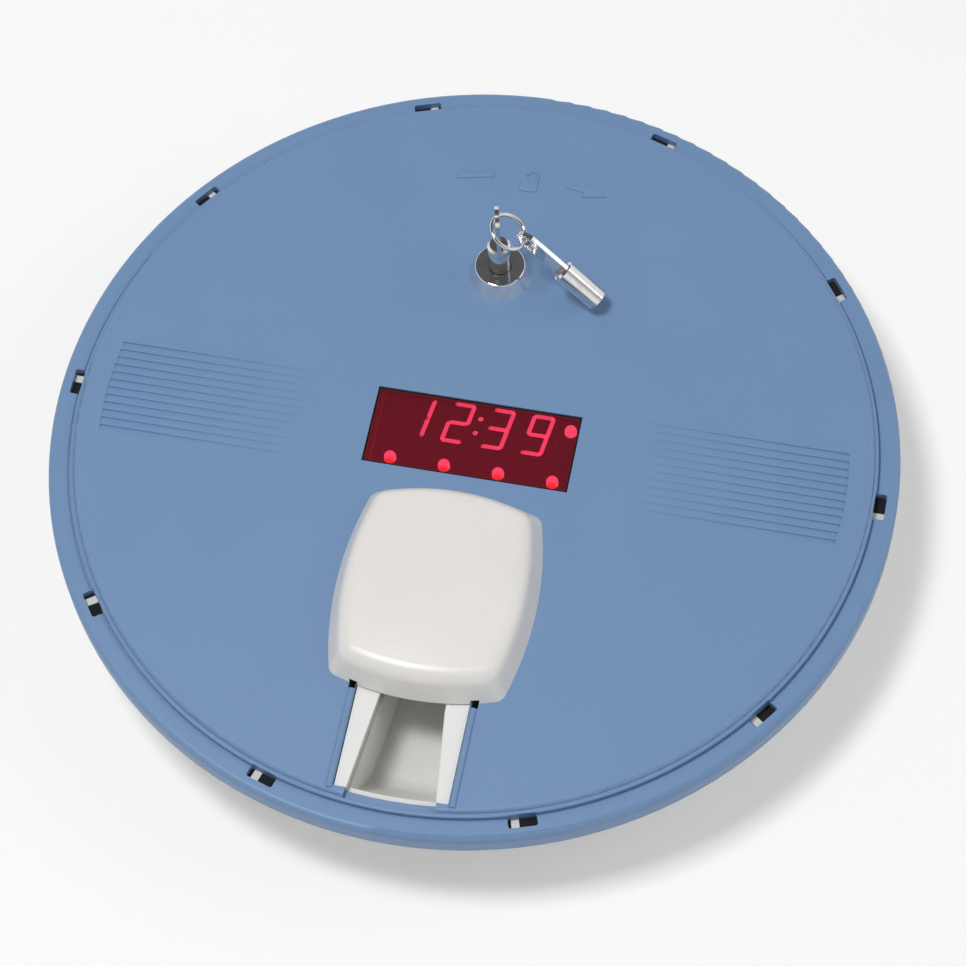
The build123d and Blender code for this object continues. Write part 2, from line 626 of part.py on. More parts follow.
def make_lock_cam():
    """Cam plate on the square end of the plug, unlocked: it points along the rim."""
    boss = rod(CAM_SHOULDER_R, CAM_Z, CAM_TOP_Z, LOCK_X, LOCK_Y)
    arm_end = LOCK_X - CAM_REACH + CAM_HALF
    arm = block((arm_end, LOCK_X), (LOCK_Y - CAM_HALF, LOCK_Y + CAM_HALF), (CAM_Z, CAM_TOP_Z))
    tip = rod(CAM_HALF, CAM_Z, CAM_TOP_Z, arm_end, LOCK_Y)
    square = centred_block(6.0 + 2 * PILOT_GAP, 6.0 + 2 * PILOT_GAP, CAM_Z - 1, CAM_TOP_Z + 1,
                           LOCK_X, LOCK_Y)
    return boss + arm + tip - square


def make_cam_screw():
    """Screw that holds the cam on the plug."""
    head = rod(CAM_SCREW_HEAD_R + 0.9, CAM_Z - CAM_SCREW_HEAD, CAM_Z, LOCK_X, LOCK_Y)
    head -= centred_block(10, 1.2, CAM_Z - CAM_SCREW_HEAD - 1, CAM_Z - CAM_SCREW_HEAD + 0.8,
                          LOCK_X, LOCK_Y)
    return head + rod(CAM_SCREW_R, CAM_Z - 0.5, CAM_TOP_Z + 6, LOCK_X, LOCK_Y)


# ================================================================ keys and ring
def key_form():
    """Tubular key hanging down from its bow's hole, with the plate facing X."""
    stem = Pos(0, KEY_BARREL_TOP / 2) * Rectangle(2 * BOW_HALF_WIDTH, -KEY_BARREL_TOP)
    tang = Pos(0, KEY_BARREL_TOP) * Rectangle(2 * KEY_BARREL_BORE_R, 2)
    plate_face = stem + tang + Circle(BOW_HALF_WIDTH) - Circle(BOW_HOLE_R)
    plate = extrude(Plane.YZ * plate_face, KEY_PLATE / 2, both=True)
    barrel = rod(KEY_BARREL_R, KEY_TIP, KEY_BARREL_TOP)
    barrel = chamfer(barrel.edges().group_by(Axis.Z)[-1], KEY_BARREL_CHAMFER)
    barrel -= rod(KEY_BARREL_BORE_R, KEY_TIP - 1, KEY_TIP + KEY_BORE_DEEP)
    return plate + barrel


def heading(turn_deg, rise_deg):
    """Direction at an angle from the +X axis and above the level."""
    level = cos(radians(rise_deg))
    return Vector(level * cos(radians(turn_deg)), level * sin(radians(turn_deg)), sin(radians(rise_deg)))


HOLE_1 = Vector(LOCK_X, LOCK_Y, KEY_HOLE_Z)
RING_FRONT = heading(KEY_TURN - 90.0, RING_SLOPE)             # along the inserted key's plate
RING_OUT = heading(KEY_TURN, 0.0).rotate(Axis((0, 0, 0), RING_FRONT), -RING_TILT)
RING_NORMAL = RING_FRONT.cross(RING_OUT)
RING_CENTRE = (HOLE_1 + RING_FRONT * (RING_CHORD / 2 - RING_BEHIND)
               + RING_OUT * sqrt(RING_R**2 - RING_CHORD**2 / 4))
SPARE_DIR = heading(SPARE_HEADING, -SPARE_DIP)
HANG_POINT = RING_CENTRE + (RING_OUT * cos(radians(SPARE_PLACE))
                            + RING_FRONT * sin(radians(SPARE_PLACE))) * RING_R
HANG_AXIS = RING_FRONT * cos(radians(SPARE_PLACE)) - RING_OUT * sin(radians(SPARE_PLACE))
HOLE_2 = HANG_POINT + SPARE_DIR * SPARE_HANG
SPARE_FACING = (HANG_AXIS - SPARE_DIR * HANG_AXIS.dot(SPARE_DIR)).normalized().rotate(
    Axis((0, 0, 0), SPARE_DIR), SPARE_ROLL)


def make_lock_key():
    """Key standing in the lock."""
    return Pos(*HOLE_1) * Rot(0, 0, KEY_TURN) * key_form()


def make_key_ring():
    """Round wire ring through the bows of both keys."""
    return Plane(RING_CENTRE, x_dir=RING_FRONT, z_dir=RING_NORMAL) * Torus(RING_R, RING_WIRE_R)


def make_spare_key():
    """Second key, hung on the ring with its barrel over the lid."""
    return Plane(HOLE_2, x_dir=SPARE_FACING, z_dir=SPARE_DIR * -1) * key_form()


# ================================================================ tray and drive
def base_slope():
    """Outward run of the base's wall for each millimetre of height."""
    return (BASE_WALL_R - BASE_FOOT_R) / (BASE_BEND_Z - FOOT_PROUD)


def trough_outline(top):
    """Points and roundings of the space inside the tray, in section, up to a height."""
    slope = base_slope()
    low_r = TRAY_R - slope * (TRAY_BEND_Z - TRAY_FLOOR_Z)
    slant_wall = TRAY_WALL * sqrt(1 + slope**2)
    floor_top = TRAY_FLOOR_Z + TRAY_WALL
    in_r = TRAY_R - TRAY_WALL
    in_low_r = low_r + slope * TRAY_WALL - slant_wall
    in_bend_z = TRAY_BEND_Z + (slant_wall - TRAY_WALL) / slope
    bore_r = TRAY_BORE_R + TRAY_WALL
    points = [(bore_r, floor_top), (in_low_r, floor_top), (in_r, in_bend_z), (in_r, top), (bore_r, top)]
    return points, [(in_low_r, floor_top, SCOOP_R)]


def scoop_start():
    """Radius at which the flat floor of the tray turns up into its outer wall."""
    corner_r = trough_outline(TRAY_TOP_Z)[0][1][0]
    return corner_r - SCOOP_R * tan(atan2(1, base_slope()) / 2)


def make_tray_floor():
    """Flat ring-shaped floor of the pill tray."""
    return pipe(scoop_start(), TRAY_BORE_R + TRAY_WALL, TRAY_FLOOR_Z, TRAY_FLOOR_Z + TRAY_WALL)


def make_tray_inner_wall():
    """Wall round the tray's bore."""
    return pipe(TRAY_BORE_R + TRAY_WALL, TRAY_BORE_R, TRAY_FLOOR_Z, TRAY_TOP_Z)


def make_tray_outer_wall():
    """Outer wall of the tray: scooped at the foot, then sloping, then upright."""
    low_r = TRAY_R - base_slope() * (TRAY_BEND_Z - TRAY_FLOOR_Z)
    body = turned([(TRAY_BORE_R, TRAY_FLOOR_Z), (low_r, TRAY_FLOOR_Z), (TRAY_R, TRAY_BEND_Z),
                   (TRAY_R, TRAY_TOP_Z), (TRAY_BORE_R, TRAY_TOP_Z)],
                  [(low_r, TRAY_FLOOR_Z, SCOOP_R + TRAY_WALL)])
    body -= turned(*trough_outline(TRAY_TOP_Z + 1))
    return body - rod(scoop_start(), TRAY_FLOOR_Z - 1, TRAY_TOP_Z + 1)


def make_tray_track():
    """Ring under the tray's floor that turns on the base's pads."""
    return pipe(TRACK_R + TRACK_WALL, TRACK_R, TRACK_Z, TRAY_FLOOR_Z)


def make_tray_dividers():
    """Radial dividers that part the tray into compartments."""
    face = offset(section(*trough_outline(TRAY_TOP_Z - DIVIDER_DROP)), -DIVIDER_FIT)
    divider = extrude(face, DIVIDER_WALL / 2, both=True)
    return Compound([turn((place + 0.5) * COMPARTMENT_DEG - 90.0, divider)
                     for place in range(COMPARTMENTS)])


def tooth_flank(teeth, tip_r, root_r, thinner):
    """Points up one involute flank of a tooth centred on the +X axis, root to tip."""
    pitch_r = GEAR_MODULE * teeth / 2
    base_r = pitch_r * cos(radians(PRESSURE_ANGLE))

    def unrolled(r):
        tangent = sqrt(max(0.0, (r / base_r) ** 2 - 1))
        return tangent - atan2(tangent, 1)

    half_angle = pi / (2 * teeth) - thinner / (2 * pitch_r)
    start_r = max(root_r, base_r)
    radii = [start_r + (tip_r - start_r) * step / 3 for step in range(4)]
    if root_r < start_r:
        radii.insert(0, root_r)
    return [(r, half_angle + unrolled(pitch_r) - unrolled(r)) for r in radii]


def gear_face(teeth, tip_r, root_r, thinner):
    """Outline of a whole gear as one face, with a tooth centred on the +X axis."""
    flank = tooth_flank(teeth, tip_r, root_r, thinner)
    tooth = [(r, -angle) for r, angle in flank] + flank[::-1]
    points = []
    for place in range(teeth):
        middle = 2 * pi * place / teeth
        points += [(r * cos(middle + angle), r * sin(middle + angle)) for r, angle in tooth]
    return make_face(Polyline(points, close=True))


def make_tray_ring_gear():
    """Internal gear under the tray's inner edge; its tooth spaces are shaped like teeth."""
    root_r = RING_PITCH_R + 1.2 * GEAR_MODULE
    tip_r = RING_PITCH_R - 0.75 * GEAR_MODULE
    face = Circle(root_r + RING_RIM) - gear_face(RING_TEETH, root_r, tip_r, -BACKLASH)
    return Pos(0, 0, RING_Z) * extrude(face, RING_DEPTH)


def make_drive_pinion():
    """Pinion of the tray drive, in mesh with the ring gear on the +X side."""
    root_r = PINION_PITCH_R - 1.1 * GEAR_MODULE
    face = gear_face(PINION_TEETH, PINION_TIP_R, root_r, BACKLASH) - Circle(SHAFT_R)
    low, high = RING_Z + PINION_LOWER, RING_TOP_Z - PINION_LOWER
    return Pos(PINION_X, 0, low) * extrude(face, high - low)


def make_pinion_shaft():
    """Steel shaft from the gearbox through the pinion to a bearing in the base."""
    return rod(SHAFT_R, FLOOR_TOP_Z + 0.3, GEARBOX_Z + SHAFT_IN_GEARBOX, PINION_X)


# ================================================================ base
def hub_boss_places():
    """Centres of the four screw bosses of the hub."""
    return [(HUB_BOSS_CIRCLE_R * cos(radians(a)), HUB_BOSS_CIRCLE_R * sin(radians(a)))
            for a in HUB_BOSS_DEGS]


def foot_places():
    """Centres of the four feet."""
    side = FOOT_CIRCLE_R / sqrt(2)
    return [(x, y) for x in (-side, side) for y in (-side, side)]


def bay_block(grow, z, travel=0.0):
    """Box over the battery opening, grown all round and lengthened towards -Y."""
    half_x, half_y = BAY_HALF_X + grow, BAY_HALF_Y + grow
    return block((-half_x, half_x), (BAY_Y - half_y - travel, BAY_Y + half_y), z)


def seal_ring(play):
    """Ring-shaped seal in the flange, broken under each rim slot and at each notch."""
    ring = pipe(SEAL_OUTER_R - play, SEAL_INNER_R + play, FLANGE_TOP_Z - SEAL_THICK, FLANGE_TOP_Z + 1)
    land = centred_block(SEAL_OUTER_R, LAND_WIDTH + 2 * play, FLANGE_Z, FLANGE_TOP_Z + 2, x=SEAL_OUTER_R)
    break_width = CATCH_LENGTH + 2 * (NOTCH_PLAY + NOTCH_EDGE + play)
    gap = centred_block(SEAL_OUTER_R, break_width, FLANGE_Z, FLANGE_TOP_Z + 2, x=SEAL_OUTER_R)
    for place in range(CATCH_COUNT):
        slot_deg = place * CATCH_PITCH_DEG
        ring -= turn(slot_deg + LAND_DEG, land)
        ring -= turn(slot_deg + CATCH_SHIFT_DEG - LID_TURN_DEG, gap)
    return ring


def make_rim_seal():
    """Dark foam seal laid in the flange's groove, in arcs."""
    return seal_ring(SEAL_PLAY) - rod(BASE_WALL_R + FLANGE_R, FLANGE_TOP_Z - SEAL_SUNK, FLANGE_TOP_Z + 2)


def make_base_bowl():
    """White base: flat floor, wall sloping out to a notched flange that the lid turns under."""
    slope = base_slope()
    slant_wall = BASE_WALL * sqrt(1 + slope**2)
    in_r = BASE_WALL_R - BASE_WALL
    in_bend_z = BASE_BEND_Z + (slant_wall - BASE_WALL) / slope
    in_low_r = BASE_FOOT_R + slope * FLOOR_WALL - slant_wall
    bowl = turned(
        [(0, FOOT_PROUD), (BASE_FOOT_R, FOOT_PROUD), (BASE_WALL_R, BASE_BEND_Z),
         (BASE_WALL_R, FLANGE_Z), (FLANGE_R, FLANGE_Z), (FLANGE_R, FLANGE_TOP_Z), (in_r, FLANGE_TOP_Z),
         (in_r, in_bend_z), (in_low_r, FLOOR_TOP_Z), (0, FLOOR_TOP_Z)],
        [(BASE_FOOT_R, FOOT_PROUD, BASE_FOOT_ROUND), (in_low_r, FLOOR_TOP_Z, BASE_FOOT_ROUND - BASE_WALL)])
    added = [pipe(TRACK_R + TRACK_WALL, TRACK_R, FLOOR_TOP_Z - 1, TRACK_Z),
             pipe(BEARING_R, SHAFT_R, FLOOR_TOP_Z - 1, FLOOR_TOP_Z + BEARING_HEIGHT, PINION_X),
             bay_block(PAD_MARGIN, (FLOOR_TOP_Z - 1, PAD_TOP_Z), DOOR_TRAVEL)
             & rod(HUB_R - HUB_WALL - RUNNING_FIT, FLOOR_TOP_Z - 2, PAD_TOP_Z + 1)]
    for side in (-1, 1):
        added.append(rod(MOTOR_POST_R, FLOOR_TOP_Z - 1, GEARBOX_Z, MOTOR_POST_X, side * MOTOR_POST_Y))
    bowl += added

    door_grow = DOOR_OVERLAP + DOOR_PLAY
    rail_z = (FOOT_PROUD - 1, FOOT_PROUD + DOOR_SUNK + DOOR_THICK + 0.1)
    cuts = [bay_block(0.0, (FOOT_PROUD - 1, PAD_TOP_Z + 1)),
            bay_block(door_grow, rail_z, DOOR_TRAVEL),
            rod(SHAFT_R + RUNNING_FIT, FLOOR_TOP_Z, FLOOR_TOP_Z + BEARING_HEIGHT + 1, PINION_X)]
    half_notch = CATCH_LENGTH / 2 + NOTCH_PLAY
    notch = block((SKIRT_IN_R - CATCH_REACH - NOTCH_DEEPER, FLANGE_R + 1), (-half_notch, half_notch),
                  (FLANGE_Z - 1, FLANGE_TOP_Z + 1))
    for place in range(CATCH_COUNT):
        catch_deg = place * CATCH_PITCH_DEG + CATCH_SHIFT_DEG
        cuts.append(turn(catch_deg - LID_TURN_DEG, notch))
    cuts.append(seal_ring(0.0))
    for x, y in hub_boss_places():
        cuts.append(rod(HUB_SCREW_R + PILOT_GAP, FOOT_PROUD - 1, FLOOR_TOP_Z + 1, x, y))
        cuts.append(Pos(x, y, FOOT_PROUD) * Cone(HUB_SCREW_R * 2, HUB_SCREW_R, HUB_SCREW_R, align=UPRIGHT))
    for x, y in foot_places():
        cuts.append(rod(FOOT_PEG_R, FOOT_PROUD - 1, FLOOR_TOP_Z + 1, x, y))
    for side in (-1, 1):
        cuts.append(rod(MOTOR_SCREW_R + PILOT_GAP, FLOOR_TOP_Z + 2, GEARBOX_Z + 1, MOTOR_POST_X,
                        side * MOTOR_POST_Y))
    jack_bore = Pos(JACK_FRONT_R - 3, 0, JACK_Z) * Rot(0, 90, 0) * Cylinder(JACK_BORE_R, 20, align=UPRIGHT)
    jack_bed = block((JACK_BACK_R - 1, JACK_FRONT_R + DOOR_PLAY), (-JACK_HALF - 0.2, JACK_HALF + 0.2),
                     (FLOOR_TOP_Z, TRAY_FLOOR_Z))
    wire_way = block((TRACK_R - 1, TRACK_R + TRACK_WALL + 1), (-3, 3), (FLOOR_TOP_Z, TRACK_Z + 1))
    cuts += [turn(JACK_DEG, cutter) for cutter in (jack_bore, jack_bed, wire_way)]
    bowl -= cuts

    rails = []
    rail_x = BAY_HALF_X + door_grow
    rail_y = (BAY_Y - BAY_HALF_Y - door_grow - DOOR_TRAVEL, BAY_Y + BAY_HALF_Y + door_grow)
    for side in (-1, 1):
        x = tuple(sorted((side * (rail_x - DOOR_RAIL), side * (rail_x + 0.5))))
        rails.append(block(x, rail_y, (FOOT_PROUD, FOOT_PROUD + DOOR_RAIL_THICK)))
    stop_deg = degrees((CATCH_LENGTH / 2 + 0.3) / BASE_WALL_R)
    stop_to = stop_deg + degrees(STOP_LENGTH / BASE_WALL_R)
    for half_turn in (0.0, 180.0):
        catch_deg = half_turn + CATCH_SHIFT_DEG
        rails.append(sector(BASE_WALL_R - 0.5, FLANGE_R - 1, catch_deg + stop_deg, catch_deg + stop_to,
                            CATCH_TOP_Z - CATCH_THICK, FLANGE_Z))
    return bowl + rails


def make_rubber_feet():
    """Four push-in feet with domed soles."""
    feet = []
    for x, y in foot_places():
        sole = rod(FOOT_R, 0, FOOT_PROUD, x, y)
        sole = fillet(sole.edges().group_by(Axis.Z)[0], 0.7)
        feet.append(sole + rod(FOOT_PEG_R, FOOT_PROUD - 0.5, FLOOR_TOP_Z + FOOT_PEG_HEAD, x, y))
    return Compound(feet)


def make_battery_door():
    """Sliding door under the battery bay, held at its sides by the base's rails."""
    low = FOOT_PROUD + DOOR_SUNK
    door = bay_block(DOOR_OVERLAP, (low, low + DOOR_THICK))
    half_y = BAY_HALF_Y + DOOR_OVERLAP
    cuts = []
    for side in (-1, 1):
        edge = side * (BAY_HALF_X + DOOR_OVERLAP)
        x = tuple(sorted((edge + side, edge - side * (DOOR_RAIL + DOOR_PLAY))))
        cuts.append(block(x, (BAY_Y - half_y - 1, BAY_Y + half_y + 1), (low - 1, FOOT_PROUD + DOOR_RAIL_THICK)))
    for row in range(5):
        cuts.append(block((-9, 9), (BAY_Y - half_y + 5 + 2.4 * row, BAY_Y - half_y + 6.2 + 2.4 * row),
                          (low - 1, low + 0.5)))
    return door - cuts


# ================================================================ hub
def well_face():
    """Plan of the lock well in the hub's rim."""
    start, middle, end = ((cos(radians(a)), sin(radians(a))) for a in
                          (WELL_FROM_DEG, (WELL_FROM_DEG + WELL_TO_DEG) / 2, WELL_TO_DEG))
    inner = ThreePointArc(*((WELL_INNER_R * c, WELL_INNER_R * s) for c, s in (start, middle, end)))
    far = HUB_R * 1.3
    outer = Line((far * end[0], far * end[1]), (far * start[0], far * start[1]))
    return make_face([inner, Line(inner @ 1, outer @ 0), outer, Line(outer @ 1, inner @ 0)])


def board_post_places():
    """Centres of the posts that carry the main board."""
    half_x, half_y = BOARD_SIZE[0] / 2 - BOARD_POST_INSET, BOARD_SIZE[1] / 2 - BOARD_POST_INSET
    return [(x, BOARD_Y + y) for x in (-half_x, half_x) for y in (-half_y, half_y)]


def make_hub_housing():
    """White drum in the middle of the base: panel on top, lock well at the rear, open below."""
    plan = Circle(HUB_R) - well_face()
    plan = fillet(plan.vertices(), HUB_ROUND)
    hub = Pos(0, 0, FLOOR_TOP_Z) * extrude(plan, HUB_TOP_Z - FLOOR_TOP_Z)
    hub = fillet(hub.edges().group_by(Axis.Z)[-1], HUB_ROUND)
    hollow = offset(plan, -HUB_WALL)
    hub -= Pos(0, 0, FLOOR_TOP_Z - 1) * extrude(hollow, PANEL_Z - FLOOR_TOP_Z + 1)

    added = []
    for x, y in hub_boss_places():
        added.append(rod(HUB_BOSS_R, FLOOR_TOP_Z, PANEL_Z + 0.5, x, y))
    for x, y in board_post_places():
        added.append(rod(BOARD_POST_R, BOARD_TOP_Z, PANEL_Z + 0.5, x, y))
    keeper_x = LOCK_X + CAM_HALF + KEEPER_GAP
    added.append(block((keeper_x, keeper_x + KEEPER_THICK),
                       (WELL_INNER_R - HUB_WALL / 2, WELL_INNER_R + KEEPER_REACH),
                       (CAM_TOP_Z - KEEPER_HEIGHT / 2, CAM_TOP_Z + KEEPER_HEIGHT / 2)))
    wall_r = HUB_R - HUB_WALL
    for side in (-1, 1):
        y = tuple(sorted((side * SENSOR_HALF, side * (SENSOR_HALF + 1.4))))
        added.append(block((-wall_r - 0.3, -wall_r + 5.5), y, (SENSOR_Z, PANEL_Z + 0.5)))
    hub += added

    pinion_half = PINION_TIP_R + PINION_ROOM
    cuts = [centred_block(*PANEL_OPENING, PANEL_Z - 1, HUB_TOP_Z + 1, *PANEL_OPENING_AT),
            block((wall_r - 2, HUB_R + 1), (-pinion_half, pinion_half), (FLOOR_TOP_Z - 1, RING_TOP_Z + 1.4)),
            block((-HUB_R - 1, -wall_r + 1), (-SENSOR_HALF + 0.8, SENSOR_HALF - 0.8),
                  (SENSOR_Z + 0.8, SENSOR_Z + 7.2)),
            turn(JACK_DEG, block((wall_r - 2, HUB_R + 1), (-3, 3), (FLOOR_TOP_Z - 1, FLOOR_TOP_Z + 3)))]
    for x in BUTTON_XS:
        hole = Pos(x, BUTTON_Y) * SlotOverall(BUTTON_LENGTH + 2 * BUTTON_PLAY,
                                              BUTTON_WIDTH + 2 * BUTTON_PLAY)
        cuts.append(Pos(0, 0, PANEL_Z - 1) * extrude(hole, HUB_WALL + 2))
    for column in range(-2, 3):
        cuts.append(centred_block(1.4, 14 - 2.5 * abs(column), PANEL_Z - 1, HUB_TOP_Z + 1,
                                  BUZZER_X + 3.2 * column))
    for x, y in hub_boss_places():
        cuts.append(rod(HUB_SCREW_R + PILOT_GAP, FLOOR_TOP_Z - 1, FLOOR_TOP_Z + 12, x, y))
    for x, y in board_post_places():
        cuts.append(rod(BOARD_SCREW_R + PILOT_GAP, BOARD_TOP_Z - 1, PANEL_Z - 1, x, y))
    return hub - cuts


def make_hub_screws():
    """Countersunk screws from under the base into the hub."""
    screws = []
    for x, y in hub_boss_places():
        head = Pos(x, y, FOOT_PROUD) * Cone(HUB_SCREW_R * 2, HUB_SCREW_R, HUB_SCREW_R, align=UPRIGHT)
        shank = rod(HUB_SCREW_R, FOOT_PROUD + HUB_SCREW_R - 0.1, FLOOR_TOP_Z + 10, x, y)
        cross = [centred_block(3.2, 0.7, FOOT_PROUD - 1, FOOT_PROUD + 0.7, x, y),
                 centred_block(0.7, 3.2, FOOT_PROUD - 1, FOOT_PROUD + 0.7, x, y)]
        screws.append(head + shank - cross)
    return Compound(screws)


def make_display_module():
    """Four-digit clock display block."""
    body = centred_block(DISPLAY_LENGTH, DISPLAY_WIDTH, BOARD_TOP_Z, DISPLAY_Z, y=DISPLAY_Y)
    return chamfer(body.edges().group_by(Axis.Z)[-1], 0.4)


def indicator_places():
    """Centres of the dose lamps and of the marker lamp beside the last digit."""
    row = [(INDICATOR_X + (place - 1.5) * INDICATOR_PITCH, INDICATOR_Y) for place in range(4)]
    return [*row, (MARKER_X, MARKER_Y)]


def make_indicator_lamps():
    """Round-topped lamps in a row in front of the digits, and one beside them."""
    lamps = []
    for x, y in indicator_places():
        tip = INDICATOR_TOP_Z - INDICATOR_R
        lamp = rod(INDICATOR_R, BOARD_TOP_Z, tip, x, y) + Pos(x, y, tip) * Sphere(INDICATOR_R)
        lamps.append(lamp + rod(INDICATOR_R + 0.3, BOARD_TOP_Z, BOARD_TOP_Z + 1, x, y))
    return Compound(lamps)


def make_display_bezel():
    """Black surround in the panel opening, with a skirt down to the board."""
    length, width = (size - 0.4 for size in PANEL_OPENING)
    top, plate = DISPLAY_Z, 1.2
    at = PANEL_OPENING_AT
    bezel = centred_block(length, width, BOARD_TOP_Z, top, *at)
    bezel -= centred_block(length - 2 * BEZEL_WALL, width - 2 * BEZEL_WALL, BOARD_TOP_Z - 1,
                           top - plate, *at)
    bezel -= centred_block(DISPLAY_LENGTH + 0.4, DISPLAY_WIDTH + 0.4, BOARD_TOP_Z - 1, top + 1,
                           y=DISPLAY_Y)
    holes = [rod(INDICATOR_R + 0.15, top - 3, top + 1, x, y) for x, y in indicator_places()]
    return bezel - holes


def make_main_board():
    """Circuit board under the panel, with a hole at each post."""
    board = centred_block(*BOARD_SIZE, BOARD_Z, BOARD_TOP_Z, y=BOARD_Y)
    board = fillet(board.edges().filter_by(Axis.Z), 2.0)
    holes = [rod(BOARD_SCREW_R + PILOT_GAP, BOARD_Z - 1, BOARD_TOP_Z + 1, x, y)
             for x, y in board_post_places()]
    return board - holes


def make_board_screws():
    """Pan-head screws that hold the board to the hub's posts."""
    screws = [rod(BOARD_SCREW_R * 2, BOARD_Z - 1.4, BOARD_Z, x, y)
              + rod(BOARD_SCREW_R, BOARD_Z - 0.5, BOARD_TOP_Z + 5, x, y)
              for x, y in board_post_places()]
    return Compound(screws)


def make_button(x):
    """One oval button: cap through the panel, flange under it and stem over its switch."""
    cap_low = PANEL_Z - BUTTON_FLANGE
    cap = Pos(x, BUTTON_Y, cap_low) * extrude(SlotOverall(BUTTON_LENGTH, BUTTON_WIDTH),
                                              HUB_TOP_Z + BUTTON_PROUD - cap_low)
    cap = fillet(cap.edges().group_by(Axis.Z)[-1], 0.6)
    rim = SlotOverall(BUTTON_LENGTH + 2 * BUTTON_FLANGE, BUTTON_WIDTH + 2 * BUTTON_FLANGE)
    flange = Pos(x, BUTTON_Y, cap_low) * extrude(rim, BUTTON_FLANGE)
    stem = rod(1.6, BOARD_TOP_Z + SWITCH_HEIGHT + BUTTON_TRAVEL + 0.05, cap_low + 0.5, x, BUTTON_Y)
    return cap + flange + stem


def make_tact_switches():
    """Push switches on the board, one under each button."""
    switches = [centred_block(2 * SWITCH_HALF, 2 * SWITCH_HALF, BOARD_TOP_Z,
                              BOARD_TOP_Z + SWITCH_HEIGHT, x, BUTTON_Y) for x in BUTTON_XS]
    return Compound(switches)


def make_buzzer():
    """Round sounder against the panel's slots."""
    case = rod(BUZZER_R, PANEL_Z - BUZZER_DEEP, PANEL_Z, BUZZER_X)
    return case - rod(1.5, PANEL_Z - 2, PANEL_Z + 1, BUZZER_X)


def make_index_sensor():
    """Sensor that counts compartments through a window in the hub's wall."""
    wall_x = -(HUB_R - HUB_WALL)
    return block((wall_x + 0.6, wall_x + 7.0), (-SENSOR_HALF, SENSOR_HALF), (SENSOR_Z, SENSOR_Z + 8.0))


def make_gear_motor():
    """Gearbox with its motor on top, shaft bore at the outer end."""
    top = GEARBOX_Z + GEARBOX_HEIGHT
    box = block((GEARBOX_FROM_X, GEARBOX_TO_X), (-GEARBOX_HALF, GEARBOX_HALF), (GEARBOX_Z, top))
    box = fillet(box.edges().filter_by(Axis.Z), 2.5)
    can = rod(MOTOR_R, top, top + MOTOR_HEIGHT, MOTOR_X)
    can = fillet(can.edges().group_by(Axis.Z)[-1], 0.8)
    holes = [rod(SHAFT_R + RUNNING_FIT, GEARBOX_Z - 1, GEARBOX_Z + SHAFT_IN_GEARBOX + 0.2, PINION_X)]
    for side in (-1, 1):
        holes.append(rod(MOTOR_SCREW_R + PILOT_GAP, GEARBOX_Z - 1, top + 1, MOTOR_POST_X,
                         side * MOTOR_POST_Y))
    return box + can - holes


def make_motor_screws():
    """Screws that hold the gearbox on the base's posts."""
    top = GEARBOX_Z + GEARBOX_HEIGHT
    screws = [rod(2.3, top, top + 1.5, MOTOR_POST_X, side * MOTOR_POST_Y)
              + rod(MOTOR_SCREW_R, GEARBOX_Z - 6, top + 0.5, MOTOR_POST_X, side * MOTOR_POST_Y)
              for side in (-1, 1)]
    return Compound(screws)


# ================================================================ power
def make_battery_holder():
    """Open-bottomed box over the battery opening."""
    roof = CELL_Z + CELL_R + 0.4
    outer = bay_block(BAY_WALL, (PAD_TOP_Z, roof + BAY_ROOF))
    inner = bay_block(0.0, (PAD_TOP_Z - 1, roof))
    ribs = []
    for gap in range(1, CELL_COUNT):
        x = (gap - CELL_COUNT / 2) * CELL_PITCH
        ribs.append(block((x - 0.3, x + 0.3), (BAY_Y - CELL_LENGTH / 2, BAY_Y + CELL_LENGTH / 2),
                          (roof - 4.0, roof + 0.5)))
    return outer - inner + ribs


def cell_xs():
    """Centres of the cells across the bay."""
    return [(place - (CELL_COUNT - 1) / 2) * CELL_PITCH for place in range(CELL_COUNT)]


def lying_rod(radius, length, x, y, z):
    """Cylinder along Y from a starting y."""
    return Pos(x, y, z) * Rot(-90, 0, 0) * Cylinder(radius, length, align=UPRIGHT)


def make_battery_cells():
    """Cells side by side, with alternate ends forward."""
    cells = []
    for place, x in enumerate(cell_xs()):
        start = BAY_Y - CELL_LENGTH / 2
        can = lying_rod(CELL_R, CELL_LENGTH, x, start, CELL_Z)
        nib_y = start + CELL_LENGTH - 0.5 if place % 2 else start - 1.0
        cells.append(can + lying_rod(2.7, 1.5, x, nib_y, CELL_Z))
    return Compound(cells)


def make_battery_contacts():
    """Contact plates and tapered springs at the ends of the bay."""
    contacts = []
    for place, x in enumerate(cell_xs()):
        for end in (-1, 1):
            wall_y = BAY_Y + end * BAY_HALF_Y
            y = tuple(sorted((wall_y, wall_y - end * CONTACT_WALL)))
            plate = block((x - 5, x + 5), y, (CELL_Z - 5, CELL_Z + 5))
            nib = (end > 0) == bool(place % 2)
            reach = BAY_END - 1.0 if nib else BAY_END
            tip = Pos(x, wall_y - end * CONTACT_WALL, CELL_Z) * Rot(90 * end, 0, 0)
            spring = tip * Cone(4.0, 2.4, reach - CONTACT_WALL, align=UPRIGHT)
            contacts.append(plate + spring)
    return Compound(contacts)


